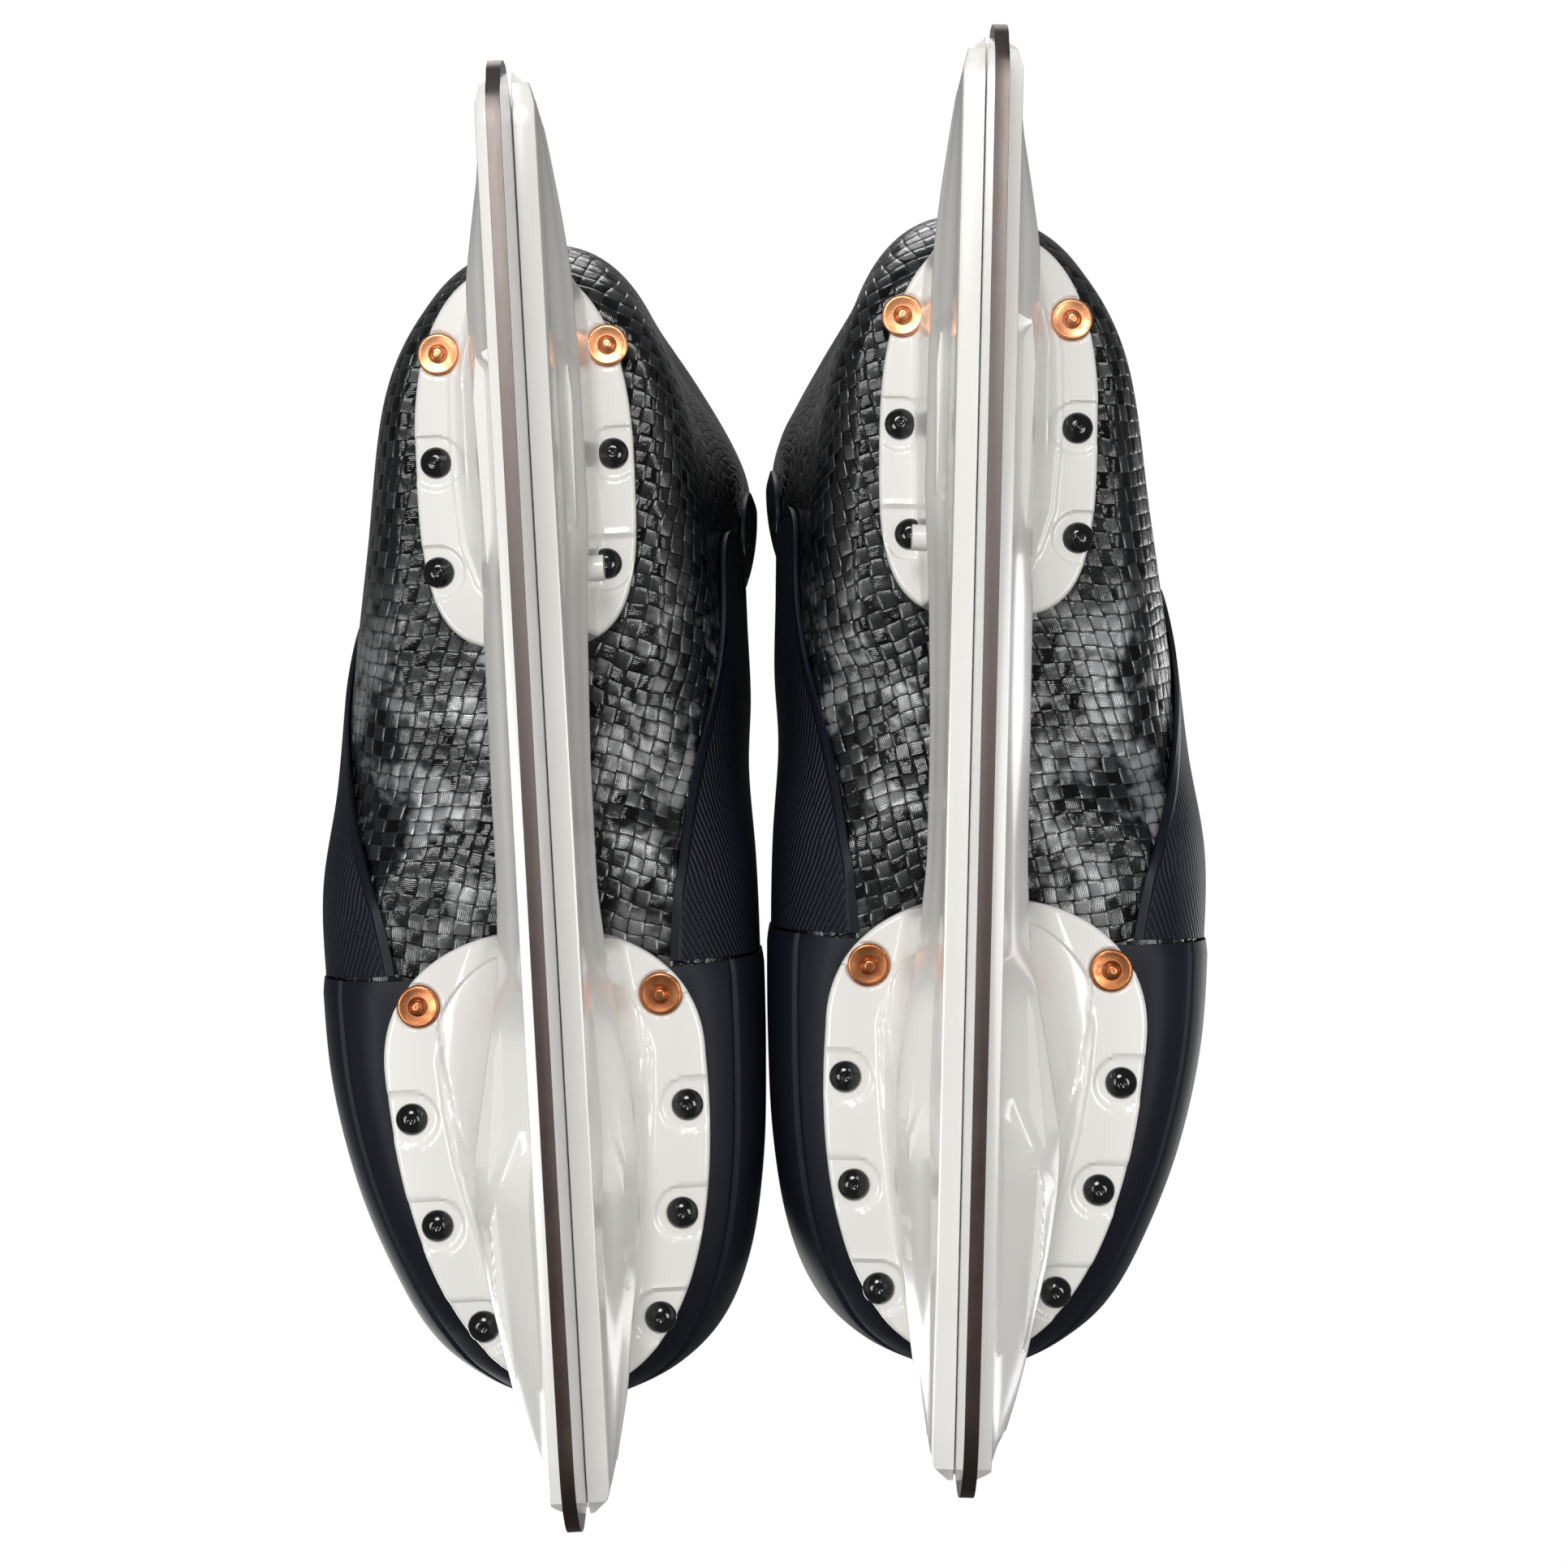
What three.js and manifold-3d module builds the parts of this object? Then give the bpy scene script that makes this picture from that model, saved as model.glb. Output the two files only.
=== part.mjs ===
// A pair of ice hockey skates, standing upright on their runners.
// Millimetres, +Z up, toes toward -Y, left skate at +X. The origin is on the ground, midway
// between the two runners.
//
// One skate is modelled with its blade in the plane x = 0, lateral side at +X, and the right
// skate is its mirror image.

import * as THREE from 'three';
import { mergeVertices } from 'three/addons/utils/BufferGeometryUtils.js';
import Module from 'manifold-3d';

const wasm = await Module();
wasm.setup();

// ---------------------------------------------------------------- driving dimensions
// The pair
const BLADE_SPACING = 89.4;        // between the two blade planes, at mid length
const TOE_IN = 2.2;                // degrees that each skate turns toward the other's toe
const STAGGER = 5.6;               // how far the left skate stands ahead of the right one

// Boot, measured on the bare shell surface
const BOOT_LENGTH = 272.5;         // toe to the back of the heel
const BALL_WIDTH = 97.5;           // widest, across the ball of the foot
const HEEL_WIDTH = 67;             // across the heel cup
const ANKLE_WIDTH = 91;            // over the ankle bones
const COLLAR_WIDTH = 81;           // at the top of the leg
const BALL_CENTRE = 8.4;           // how far the forefoot's middle lies lateral of the blade
const HEEL_CENTRE = 4;             // the same at the heel
const ANKLE_CENTRE = 0.7;          // the same at the ankle and above
const TOE_BOX_HEIGHT = 52;         // sole to the top of the toe box
const SHELL_HEIGHT = 189;          // heel sole to the top of the shell's collar
const INSTEP_HEIGHT = 98;          // heel sole to the start of the crease at the ankle
const CREASE_RADIUS = 25;          // of that crease, seen from the side

// Layers of the boot
const SHELL_WALL = 2.2;
const LAYER_GAP = 0.5;             // between two layers that lie on each other
const PANEL_WALL = 1.1;
const CAP_WALL = 2.0;              // toe cap at its sides
const CAP_SOLE_WALL = 1.1;         // toe cap under the foot
const LINER_GAP = 0.6;
const LINER_WALL = 4;
const INSOLE_WALL = 2;
const TONGUE_WALL = 6;
const GUARD_WALL = 2.4;

// Holder and runner
const TOE_SOLE_Z = 62;             // height of the toe plate's seat
const HEEL_SOLE_Z = 73;            // height of the heel plate's seat
const SEAT_GAP = 0.3;              // between the plates and the boot
const PLATE_WALL = 3.2;
const HOLDER_HEEL_Y = 150;           // the holder's rear end
const HOLDER_TOE_Y = -147.5;         // its front end
const RAIL_WIDTH = 12.4;           // the keel that grips the runner
const RAIL_Z = 22;                 // its lower face
const BRIDGE_WIDTH = 21.4;
const BRIDGE_OFFSET = 2.2;         // how far the bridge's middle lies lateral of the blade
const BRIDGE_TOP_Z = 47;
const RUNNER_LENGTH = 296;
const RUNNER_WIDTH = 2.9;
const RUNNER_TOP_Z = 29;
const RUNNER_FLAT = 60;            // the level stretch under the middle of the runner
const ROCKER_RADIUS = 3300;
const SLOT_GAP = 0.35;             // runner to slot, each side and above

// Rivets
const RIVET_SHANK = 3.2;           // diameter
const RIVET_HEAD = 6.6;
const WASHER = 9.4;
const RIVET_GAP = 0.3;
const RIVET_SIDES = 6;             // facets round a rivet and its bore

// Release trigger
const TRIGGER_WIDTH = 5.6;
const TRIGGER_PIN = 3.2;
const TRIGGER_GAP = 0.4;
const TRIGGER_SWING = 18;          // degrees, the finger end rising

// ---------------------------------------------------------------- solids
/** A closed geometry from points and triangles, turned so that its faces point out. */
function solid(points, triangles) {
  const geometry = new THREE.BufferGeometry();
  geometry.setAttribute('position', new THREE.Float32BufferAttribute(points.flat(), 3));
  geometry.setIndex(triangles.flat());
  return outward(mergeVertices(geometry, 1e-4));
}

function outward(geometry) {
  const p = geometry.attributes.position;
  const index = geometry.index.array;
  const kept = [];
  let volume = 0;
  const [a, b, c] = [new THREE.Vector3(), new THREE.Vector3(), new THREE.Vector3()];
  for (let i = 0; i < index.length; i += 3) {
    const [u, v, w] = [index[i], index[i + 1], index[i + 2]];
    if (u === v || v === w || w === u) continue;
    kept.push([u, v, w]);
    a.fromBufferAttribute(p, u);
    b.fromBufferAttribute(p, v);
    c.fromBufferAttribute(p, w);
    volume += a.dot(b.cross(c));
  }
  geometry.setIndex(kept.map((t) => (volume < 0 ? [t[0], t[2], t[1]] : t)).flat());
  return geometry;
}

/** Position-only copy of a three.js geometry with its shared corners merged. */
function merged(geometry) {
  const bare = geometry.clone();
  bare.deleteAttribute('normal');
  bare.deleteAttribute('uv');
  return outward(mergeVertices(bare, 1e-4));
}

function toManifold(geometry) {
  return new wasm.Manifold(new wasm.Mesh({
    numProp: 3,
    vertProperties: new Float32Array(geometry.attributes.position.array),
    triVerts: new Uint32Array(geometry.index.array),
  }));
}

function fromManifold(manifold) {
  const mesh = manifold.getMesh();
  const geometry = new THREE.BufferGeometry();
  geometry.setAttribute('position', new THREE.BufferAttribute(mesh.vertProperties, 3));
  geometry.setIndex([...mesh.triVerts]);
  return outward(mergeVertices(geometry, 1e-4));
}

function join(...pieces) {
  return fromManifold(pieces.map(toManifold).reduce((all, next) => all.add(next)));
}

function cut(piece, ...tools) {
  return fromManifold(tools.map(toManifold).reduce((all, next) => all.subtract(next),
    toManifold(piece)));
}

/** A plate cut to a side-view outline of [y, z] points, spanning x0 to x1. */
function plate(outline, x0, x1) {
  const shape = new THREE.Shape(outline.map(([y, z]) => new THREE.Vector2(y, z)));
  const geometry = new THREE.ExtrudeGeometry(shape, { depth: x1 - x0, bevelEnabled: false });
  geometry.applyMatrix4(new THREE.Matrix4().makeBasis(
    new THREE.Vector3(0, 1, 0), new THREE.Vector3(0, 0, 1), new THREE.Vector3(1, 0, 0)));
  return merged(geometry.translate(x0, 0, 0));
}

/** A cylinder along X, for pins, bores and coils. */
function crossCylinder(radius, x0, x1, y, z, sides) {
  const geometry = new THREE.CylinderGeometry(radius, radius, x1 - x0, sides);
  geometry.rotateZ(Math.PI / 2);
  return merged(geometry.translate((x0 + x1) / 2, y, z));
}

/** Skins a list of equal rings into a closed solid; the ends are closed by their middles. */
function loft(rings) {
  const count = rings[0].length;
  const points = rings.flat();
  const triangles = [];
  for (let r = 0; r + 1 < rings.length; r += 1) {
    for (let i = 0; i < count; i += 1) {
      const [a, b] = [r * count + i, r * count + (i + 1) % count];
      triangles.push([a, b, b + count], [a, b + count, a + count]);
    }
  }
  for (const [start, flip] of [[0, true], [(rings.length - 1) * count, false]]) {
    const ring = points.slice(start, start + count);
    const middle = ring.reduce((s, p) => s.map((v, k) => v + p[k] / count), [0, 0, 0]);
    points.push(middle);
    for (let i = 0; i < count; i += 1) {
      const [a, b] = [start + i, start + (i + 1) % count];
      triangles.push(flip ? [b, a, points.length - 1] : [a, b, points.length - 1]);
    }
  }
  return solid(points, triangles);
}

/** A wall between two equal grids of points; round joins the last column to the first. */
function wall(outer, inner, round = false) {
  const rows = outer.length;
  const columns = outer[0].length;
  const points = [...outer.flat(), ...inner.flat()];
  const id = (side, r, c) => side * rows * columns + r * columns + (c % columns);
  const triangles = [];
  const quad = (a, b, c, d) => triangles.push([a, b, c], [a, c, d]);
  const last = round ? columns : columns - 1;
  for (let r = 0; r + 1 < rows; r += 1) {
    for (let c = 0; c < last; c += 1) {
      quad(id(0, r, c), id(0, r, c + 1), id(0, r + 1, c + 1), id(0, r + 1, c));
      quad(id(1, r, c), id(1, r + 1, c), id(1, r + 1, c + 1), id(1, r, c + 1));
    }
  }
  for (let c = 0; c < last; c += 1) {
    quad(id(0, 0, c), id(1, 0, c), id(1, 0, c + 1), id(0, 0, c + 1));
    quad(id(0, rows - 1, c + 1), id(1, rows - 1, c + 1), id(1, rows - 1, c), id(0, rows - 1, c));
  }
  if (!round) {
    for (let r = 0; r + 1 < rows; r += 1) {
      quad(id(0, r, 0), id(0, r + 1, 0), id(1, r + 1, 0), id(1, r, 0));
      quad(id(0, r + 1, last), id(0, r, last), id(1, r, last), id(1, r + 1, last));
    }
  }
  return solid(points, triangles);
}

// ---------------------------------------------------------------- the boot's surface
// The surface is a row of closed sections. Each runs from a bottom point on the sole or the
// back of the heel to a top point on the instep or the front of the leg: upright sections along
// the foot, then a fan of sections round the front of the ankle, then level ones up the leg.
const TOE_Y = 4.5 - BOOT_LENGTH * 0.525;       // the toe's tip
const HEEL_Y = TOE_Y + BOOT_LENGTH;            // the back of the heel
const BOOT_SOLE_Z = TOE_SOLE_Z + CAP_SOLE_WALL + LAYER_GAP;
const SOLE_FLAT = 3;               // how much of each section's bottom the level sole cuts off
const FAN = [TOE_Y + BOOT_LENGTH * 0.525, HEEL_SOLE_Z + INSTEP_HEIGHT + CREASE_RADIUS];
const COLLAR_Z = HEEL_SOLE_Z + SHELL_HEIGHT;
const along = (fraction) => TOE_Y + BOOT_LENGTH * fraction;
const mix = (a, b, f) => a + (b - a) * f;
const ease = (f) => { const g = Math.min(1, Math.max(0, f)); return g * g * (3 - 2 * g); };

/** Height of the sole: level under both plates, with a slope at the arch between them. */
function soleZ(y) {
  return mix(BOOT_SOLE_Z, HEEL_SOLE_Z, ease((y - along(0.41)) / (BOOT_LENGTH * 0.22)));
}

/** Foot section: place, toe-box shares of sole lift and height, and share of the ball width. */
function footSection(place, lift, height, width, centre, bottomPower) {
  const y = along(place);
  return {
    bottom: [y, soleZ(y) + lift * TOE_BOX_HEIGHT],
    top: [y, BOOT_SOLE_Z + height],
    half: BALL_WIDTH / 2 * width,
    lowHalf: BALL_WIDTH / 2 * width,
    centre,
    bottomPower,
    topPower: 2.2,
  };
}

/** Fan section at an angle back from straight down; reach is the distance to the back. */
function fanSection(angle, reach, half, lowHalf, centre, bottomPower) {
  const a = THREE.MathUtils.degToRad(angle);
  const at = (distance) => [FAN[0] + distance * Math.sin(a), FAN[1] - distance * Math.cos(a)];
  return {
    bottom: at(reach),
    top: at(CREASE_RADIUS),
    half,
    lowHalf,
    centre,
    bottomPower,
    topPower: 2.1,
  };
}

/** Leg section at a share of the height from the ankle crease to the collar. */
function legSection(share, front, back, half) {
  const z = mix(FAN[1], COLLAR_Z, share);
  return {
    bottom: [HEEL_Y - back, z],
    top: [FAN[0] + CREASE_RADIUS + front, z],
    half,
    lowHalf: half,
    centre: ANKLE_CENTRE,
    bottomPower: 2.1,
    topPower: 2.2,
  };
}

const cosine = (angle) => Math.cos(THREE.MathUtils.degToRad(angle));
const sine = (angle) => Math.sin(THREE.MathUtils.degToRad(angle));
const toSole = (angle) => (INSTEP_HEIGHT + CREASE_RADIUS + SOLE_FLAT) / cosine(angle);
const toHeel = (angle, depth) => (HEEL_Y - depth - FAN[0]) / sine(angle);
const BOX = TOE_BOX_HEIGHT;
const VAMP = 1.35 * TOE_BOX_HEIGHT;            // height behind the toe cap
const TO_CREASE = HEEL_SOLE_Z + INSTEP_HEIGHT - BOOT_SOLE_Z;
const BALL = BALL_CENTRE;
const ANKLE_HALF = ANKLE_WIDTH / 2;
const HEEL_HALF = HEEL_WIDTH / 2;
const COLLAR_HALF = COLLAR_WIDTH / 2;
const SECTIONS = [
  footSection(0.000, 0.43, 0.43 * BOX + 1, 0.01, BALL - 2, 2),
  footSection(0.010, 0.27, 0.64 * BOX, 0.22, BALL - 3, 2.1),
  footSection(0.032, 0.115, 0.80 * BOX, 0.46, BALL - 4, 2.3),
  footSection(0.068, 0.000, 0.91 * BOX, 0.66, BALL - 4, 2.7),
  footSection(0.122, -0.035, 0.98 * BOX, 0.80, BALL - 3.6, 3.4),
  footSection(0.196, -0.05, 1.05 * BOX, 0.91, BALL - 2, 4.0),
  footSection(0.281, -0.055, 1.15 * BOX, 0.975, BALL - 0.5, 4.2),
  footSection(0.369, -0.055, VAMP, 1.00, BALL, 4.0),
  footSection(0.444, -0.055, mix(VAMP, TO_CREASE, 0.46), 1.01, BALL + 0.4, 3.6),
  fanSection(0, toSole(0), BALL_WIDTH / 2 - 0.7, mix(BALL_WIDTH / 2, HEEL_HALF, 0.08), BALL, 3.5),
  fanSection(14, toSole(14), mix(BALL_WIDTH, ANKLE_WIDTH, 0.4) / 2,
    mix(BALL_WIDTH / 2, HEEL_HALF, 0.22), BALL - 2, 3.8),
  fanSection(27, toSole(27), mix(BALL_WIDTH, ANKLE_WIDTH, 0.85) / 2,
    mix(ANKLE_HALF, HEEL_HALF, 0.3), HEEL_CENTRE + 0.8, 4.2),
  fanSection(38, toSole(38), ANKLE_HALF, mix(ANKLE_HALF, HEEL_HALF, 0.65), HEEL_CENTRE, 4.2),
  fanSection(45.5, toHeel(45.5, 11), ANKLE_HALF, HEEL_HALF * 0.98, HEEL_CENTRE - 0.6, 3.2),
  fanSection(53, toHeel(53, 1.5), ANKLE_HALF, HEEL_HALF * 0.96, HEEL_CENTRE - 1.6, 2.5),
  fanSection(62, toHeel(62, 1), ANKLE_HALF, HEEL_HALF * 1.02, ANKLE_CENTRE + 1, 2.3),
  fanSection(75, toHeel(75, 8), ANKLE_HALF, ANKLE_HALF * 0.92, ANKLE_CENTRE, 2.1),
  fanSection(90, toHeel(90, 14), mix(ANKLE_WIDTH, COLLAR_WIDTH, 0.35) / 2,
    mix(ANKLE_WIDTH, COLLAR_WIDTH, 0.45) / 2, ANKLE_CENTRE, 2.0),
  legSection(0.33, -1, 15, mix(ANKLE_WIDTH, COLLAR_WIDTH, 0.85) / 2),
  legSection(0.67, -1, 14, COLLAR_HALF),
  legSection(1, -2, 10, COLLAR_HALF + 0.5),
  legSection(1.2, -3, 8.5, COLLAR_HALF + 0.5),
  legSection(1.5, -6, 6, COLLAR_HALF + 0.5),
];
const COLLAR_ROW = 20;
const SIDE_COLUMNS = 6;            // from the sole's middle to the edge of the lace opening
const TOP_COLUMNS = 2;             // from that edge to the middle of the opening
const LAST_COLUMN = SIDE_COLUMNS + TOP_COLUMNS;

/** Share of the half ring, from the sole to the top, where the lace opening starts. */
function openingShare(row) {
  return mix(0.885, 0.79, ease((row - 6) / 10));
}

/** A point on a section: share 0 at the bottom, +1 and -1 at the top by either side. */
function sectionPoint(section, share) {
  const angle = Math.abs(share) * Math.PI;
  const power = 2 / (angle < Math.PI / 2 ? section.bottomPower : section.topPower);
  const deep = Math.sign(Math.cos(angle)) * Math.abs(Math.cos(angle)) ** power;
  const wide = Math.abs(Math.sin(angle)) ** power;
  const [y, z] = [0, 1].map((k) => mix(section.top[k], section.bottom[k], (1 + deep) / 2));
  const half = mix(section.half, section.lowHalf, ease(deep / 0.6));
  return [section.centre + half * wide * Math.sign(share), y, Math.max(z, soleZ(y))];
}

function columnShare(row, column) {
  const side = Math.abs(column);
  const edge = openingShare(row);
  return Math.sign(column) * (side <= SIDE_COLUMNS
    ? edge * side / SIDE_COLUMNS
    : mix(edge, 1, (side - SIDE_COLUMNS) / TOP_COLUMNS));
}

/** Grid of surface points and outward normals, at whole rows and columns. */
const GRID = SECTIONS.map((section, row) => {
  const place = (r, c) => {
    const at = SECTIONS[Math.min(SECTIONS.length - 1, Math.max(0, r))];
    return new THREE.Vector3(...sectionPoint(at, columnShare(r, c)));
  };
  const cells = {};
  for (let column = -LAST_COLUMN; column <= LAST_COLUMN; column += 1) {
    const nearTop = (c) => (c > LAST_COLUMN ? 2 * LAST_COLUMN - c : c);
    const step = 0.5;
    const up = place(row, nearTop(column + step)).sub(place(row, column - step));
    if (column === -LAST_COLUMN || column === LAST_COLUMN) up.set(1, 0, 0);
    const on = place(row + 1, column).sub(place(row - 1, column));
    if (column === LAST_COLUMN || column === -LAST_COLUMN) on.x = 0;
    const normal = up.cross(on);
    const point = place(row, column);
    const middle = new THREE.Vector3(section.centre,
      (section.bottom[0] + section.top[0]) / 2, (section.bottom[1] + section.top[1]) / 2);
    if (row === 0) normal.set(0, -1, 0);
    if (normal.lengthSq() < 1e-9) normal.copy(point).sub(middle);
    normal.normalize();
    if (row > 0 && normal.dot(point.clone().sub(middle)) < 0) normal.negate();
    cells[column] = { point, normal };
  }
  return cells;
});

/** The surface point at fractional row and column, moved out by offset. */
function onBoot(row, column, offset) {
  const r = Math.min(SECTIONS.length - 2, Math.max(0, Math.floor(row)));
  const c = Math.min(LAST_COLUMN - 1, Math.max(-LAST_COLUMN, Math.floor(column)));
  const total = new THREE.Vector3();
  for (const [dr, dc] of [[0, 0], [1, 0], [0, 1], [1, 1]]) {
    const share = (dr ? row - r : 1 - row + r) * (dc ? column - c : 1 - column + c);
    const { point, normal } = GRID[r + dr][c + dc];
    total.addScaledVector(point, share).addScaledVector(normal, share * offset);
  }
  return total.toArray();
}

/** A layer of the boot over a grid of [row, column] places. */
function layer(places, outerOffset, innerOffset, round = false) {
  const lift = (offset) => (line) => line.map(([r, c]) =>
    onBoot(r, c, typeof offset === 'function' ? offset(r, c) : offset));
  return wall(places.map(lift(outerOffset)), places.map(lift(innerOffset)), round);
}

const range = (from, to) => Array.from({ length: to - from + 1 }, (_, i) => from + i);

// ---------------------------------------------------------------- boot pieces
const SHELL_START_ROW = 3;
const LINER_START_ROW = 4;

/** Row of the shell's top edge: high at the front and back of the leg, lower at the sides. */
function collarRow(column) {
  const side = Math.abs(column) / SIDE_COLUMNS;
  return COLLAR_ROW - 0.42 * Math.sin(Math.PI * Math.min(1, side)) ** 2;
}

function uprightRows(start, columns, topRow) {
  return [...range(start, COLLAR_ROW - 1), COLLAR_ROW].map((row) =>
    columns.map((c) => [row === COLLAR_ROW ? topRow(c) : row, c]));
}

function shell() {
  const columns = range(-SIDE_COLUMNS, SIDE_COLUMNS);
  return layer(uprightRows(SHELL_START_ROW, columns, collarRow), 0, -SHELL_WALL);
}

function liner() {
  const outer = -SHELL_WALL - LINER_GAP;
  const columns = range(-SIDE_COLUMNS, SIDE_COLUMNS);
  const places = uprightRows(LINER_START_ROW, columns, (c) => collarRow(c) + 0.5);
  return layer(places, outer, outer - LINER_WALL);
}

function insole() {
  const top = -SHELL_WALL - 2 * LINER_GAP - LINER_WALL;
  const columns = [-1.6, -1, 0, 1, 1.6];
  return layer(range(LINER_START_ROW, 12).map((row) => columns.map((c) => [row, c])),
    top, top - INSOLE_WALL);
}

/** Row of the toe cap's rear rim: furthest back at the sides, furthest forward on top. */
function capRimRow(column) {
  const side = Math.abs(column) / LAST_COLUMN;
  return side < 0.5 ? mix(6.84, 6.98, ease(side * 2)) : mix(6.98, 5.75, ease(side * 2 - 1));
}

function toeCap() {
  const columns = range(-LAST_COLUMN, LAST_COLUMN - 1);
  const rows = range(0, 7).map((row) => columns.map((c) => {
    const rim = capRimRow(c);
    return [row < 6 ? row : mix(5, rim, row === 6 ? 1 / (rim - 5 > 1 ? rim - 5 : 2) : 1), c];
  }));
  const outer = (row, column) => LAYER_GAP
    + mix(CAP_SOLE_WALL, CAP_WALL, ease((Math.abs(column) - 1.5) / 1.5 + Math.max(0, 3 - row)));
  return layer(rows, outer, LAYER_GAP, true);
}

// Each side panel's lower edge as [row, column]: from near the plate up over the ankle
const LATERAL_EDGE = [[7, 0.85], [8, 1.15], [9, 1.95], [10, 2.9], [11, 3.6], [12, 4], [20, 4.2]];
const MEDIAL_EDGE = [[7, 0.85], [8, 1.12], [9, 1.5], [10, 2.35], [11, 3.1], [12, 3.8], [20, 4]];

/** Reads such a list: the value of one entry where the other entry has the given value. */
function readEdge(edge, given, value, wanted) {
  const next = Math.max(1, edge.findIndex((place) => place[given] >= value));
  const [before, after] = edge.slice(next - 1, next + 1);
  const share = (value - before[given]) / (after[given] - before[given]);
  return mix(before[wanted], after[wanted], share);
}

const FACING_COLUMNS = 1.25;
const SEAM_COLUMNS = 0.05;
const PANEL_TOP_ROW = 19.4;
const FACING_TOP_ROW = 19.6;

/** Places along a row on one side of the boot, always in rising column order. */
function onSide(row, side, columns) {
  const places = columns.map((column) => [row, side * column]);
  return side < 0 ? places.reverse() : places;
}

function sidePanel(side) {
  const edge = side > 0 ? LATERAL_EDGE : MEDIAL_EDGE;
  const crossings = [1, 2, 3].map((column) => readEdge(edge, 1, column, 0));
  const rows = [7.03, ...range(8, 19), PANEL_TOP_ROW, ...crossings].sort((a, b) => a - b);
  const high = SIDE_COLUMNS - FACING_COLUMNS - SEAM_COLUMNS;
  const places = rows.map((row) => {
    const low = readEdge(edge, 0, row, 1);
    return onSide(row, side, [low, ...[1, 2, 3, 4].map((c) => Math.min(high, Math.max(low, c))), high]);
  });
  return layer(places, LAYER_GAP + PANEL_WALL, LAYER_GAP);
}

function eyeletFacing(side) {
  const places = [...range(7, 19), FACING_TOP_ROW].map((row) =>
    onSide(row, side, [SIDE_COLUMNS - FACING_COLUMNS, SIDE_COLUMNS - 1, SIDE_COLUMNS]));
  return layer(places, LAYER_GAP + PANEL_WALL, LAYER_GAP);
}

/** Tucked under the toe cap, between the eyelet facings, with a wide flap above the collar. */
function tongue() {
  const neck = SIDE_COLUMNS + 0.3;
  const rows = [5.4, 6, ...range(7, 13), 15, 17, 18, COLLAR_ROW, 20.6, 21.2, 22];
  const edge = (row) => (row > 20.7 ? SIDE_COLUMNS - 0.9 : neck);
  const places = rows.map((row) => {
    const low = edge(row);
    const right = [low, mix(low, LAST_COLUMN, 0.5), LAST_COLUMN];
    return [...right.map((c) => [row, c]), ...[1, 0].map((i) => [row, -right[i]])];
  });
  const top = (row) => (row < 7 ? -0.2 : -1);
  return layer(places, top, (row) => top(row) - TONGUE_WALL);
}

function tendonGuard() {
  const columns = [-1.5, -1, 0, 1, 1.5];
  const top = (c) => 22 - 0.35 * Math.abs(c);
  const places = [19, COLLAR_ROW, 21, 22].map((row) =>
    columns.map((c) => [row === 22 ? top(c) : row, c]));
  return layer(places, LAYER_GAP + GUARD_WALL, LAYER_GAP);
}

// ---------------------------------------------------------------- holder
// Plates: ends and widest place along the skate, half width, middle, how far the middle drifts
// to the medial side by the front end, and how square the outline is
const HEEL_PLATE = {
  rear: 121, front: 34, wide: 77.5, half: 24.7, centre: 4.9, drift: 0, power: 2.9,
};
const TOE_PLATE = {
  rear: -28.8, front: -131, wide: -58, half: 35.6, centre: 6.4, drift: 3.2, power: 2.2,
};

/** Outline of a plate at a share of its length, as [y, middle x, half width]. */
function plateStation(form, share) {
  const y = share < 0 ? mix(form.wide, form.rear, -share) : mix(form.wide, form.front, share);
  const half = form.half * (1 - Math.abs(share) ** form.power) ** (1 / form.power);
  return [y, form.centre - form.drift * Math.max(0, share), half];
}

function platePiece(form, z) {
  const shares = range(-7, 7).map((i) => Math.sin(i / 7 * Math.PI / 2));
  const lateral = shares.map((s) => plateStation(form, s));
  const ring = (level, inset) => [
    ...lateral.map(([y, x, half]) => [x + Math.max(0, half - inset), y, level]),
    ...lateral.slice(1, -1).reverse().map(([y, x, half]) =>
      [x - Math.max(0, half - inset), y, level]),
  ];
  return loft([ring(z - PLATE_WALL, 0.8), ring(z - PLATE_WALL + 0.8, 0), ring(z, 0)]);
}

const RAIL_HALF = RAIL_WIDTH / 2;
const BRIDGE_HALF = BRIDGE_WIDTH / 2;
const BRIDGE_LATERAL = BRIDGE_HALF + BRIDGE_OFFSET;
const BRIDGE_MEDIAL = BRIDGE_HALF - BRIDGE_OFFSET;
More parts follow.
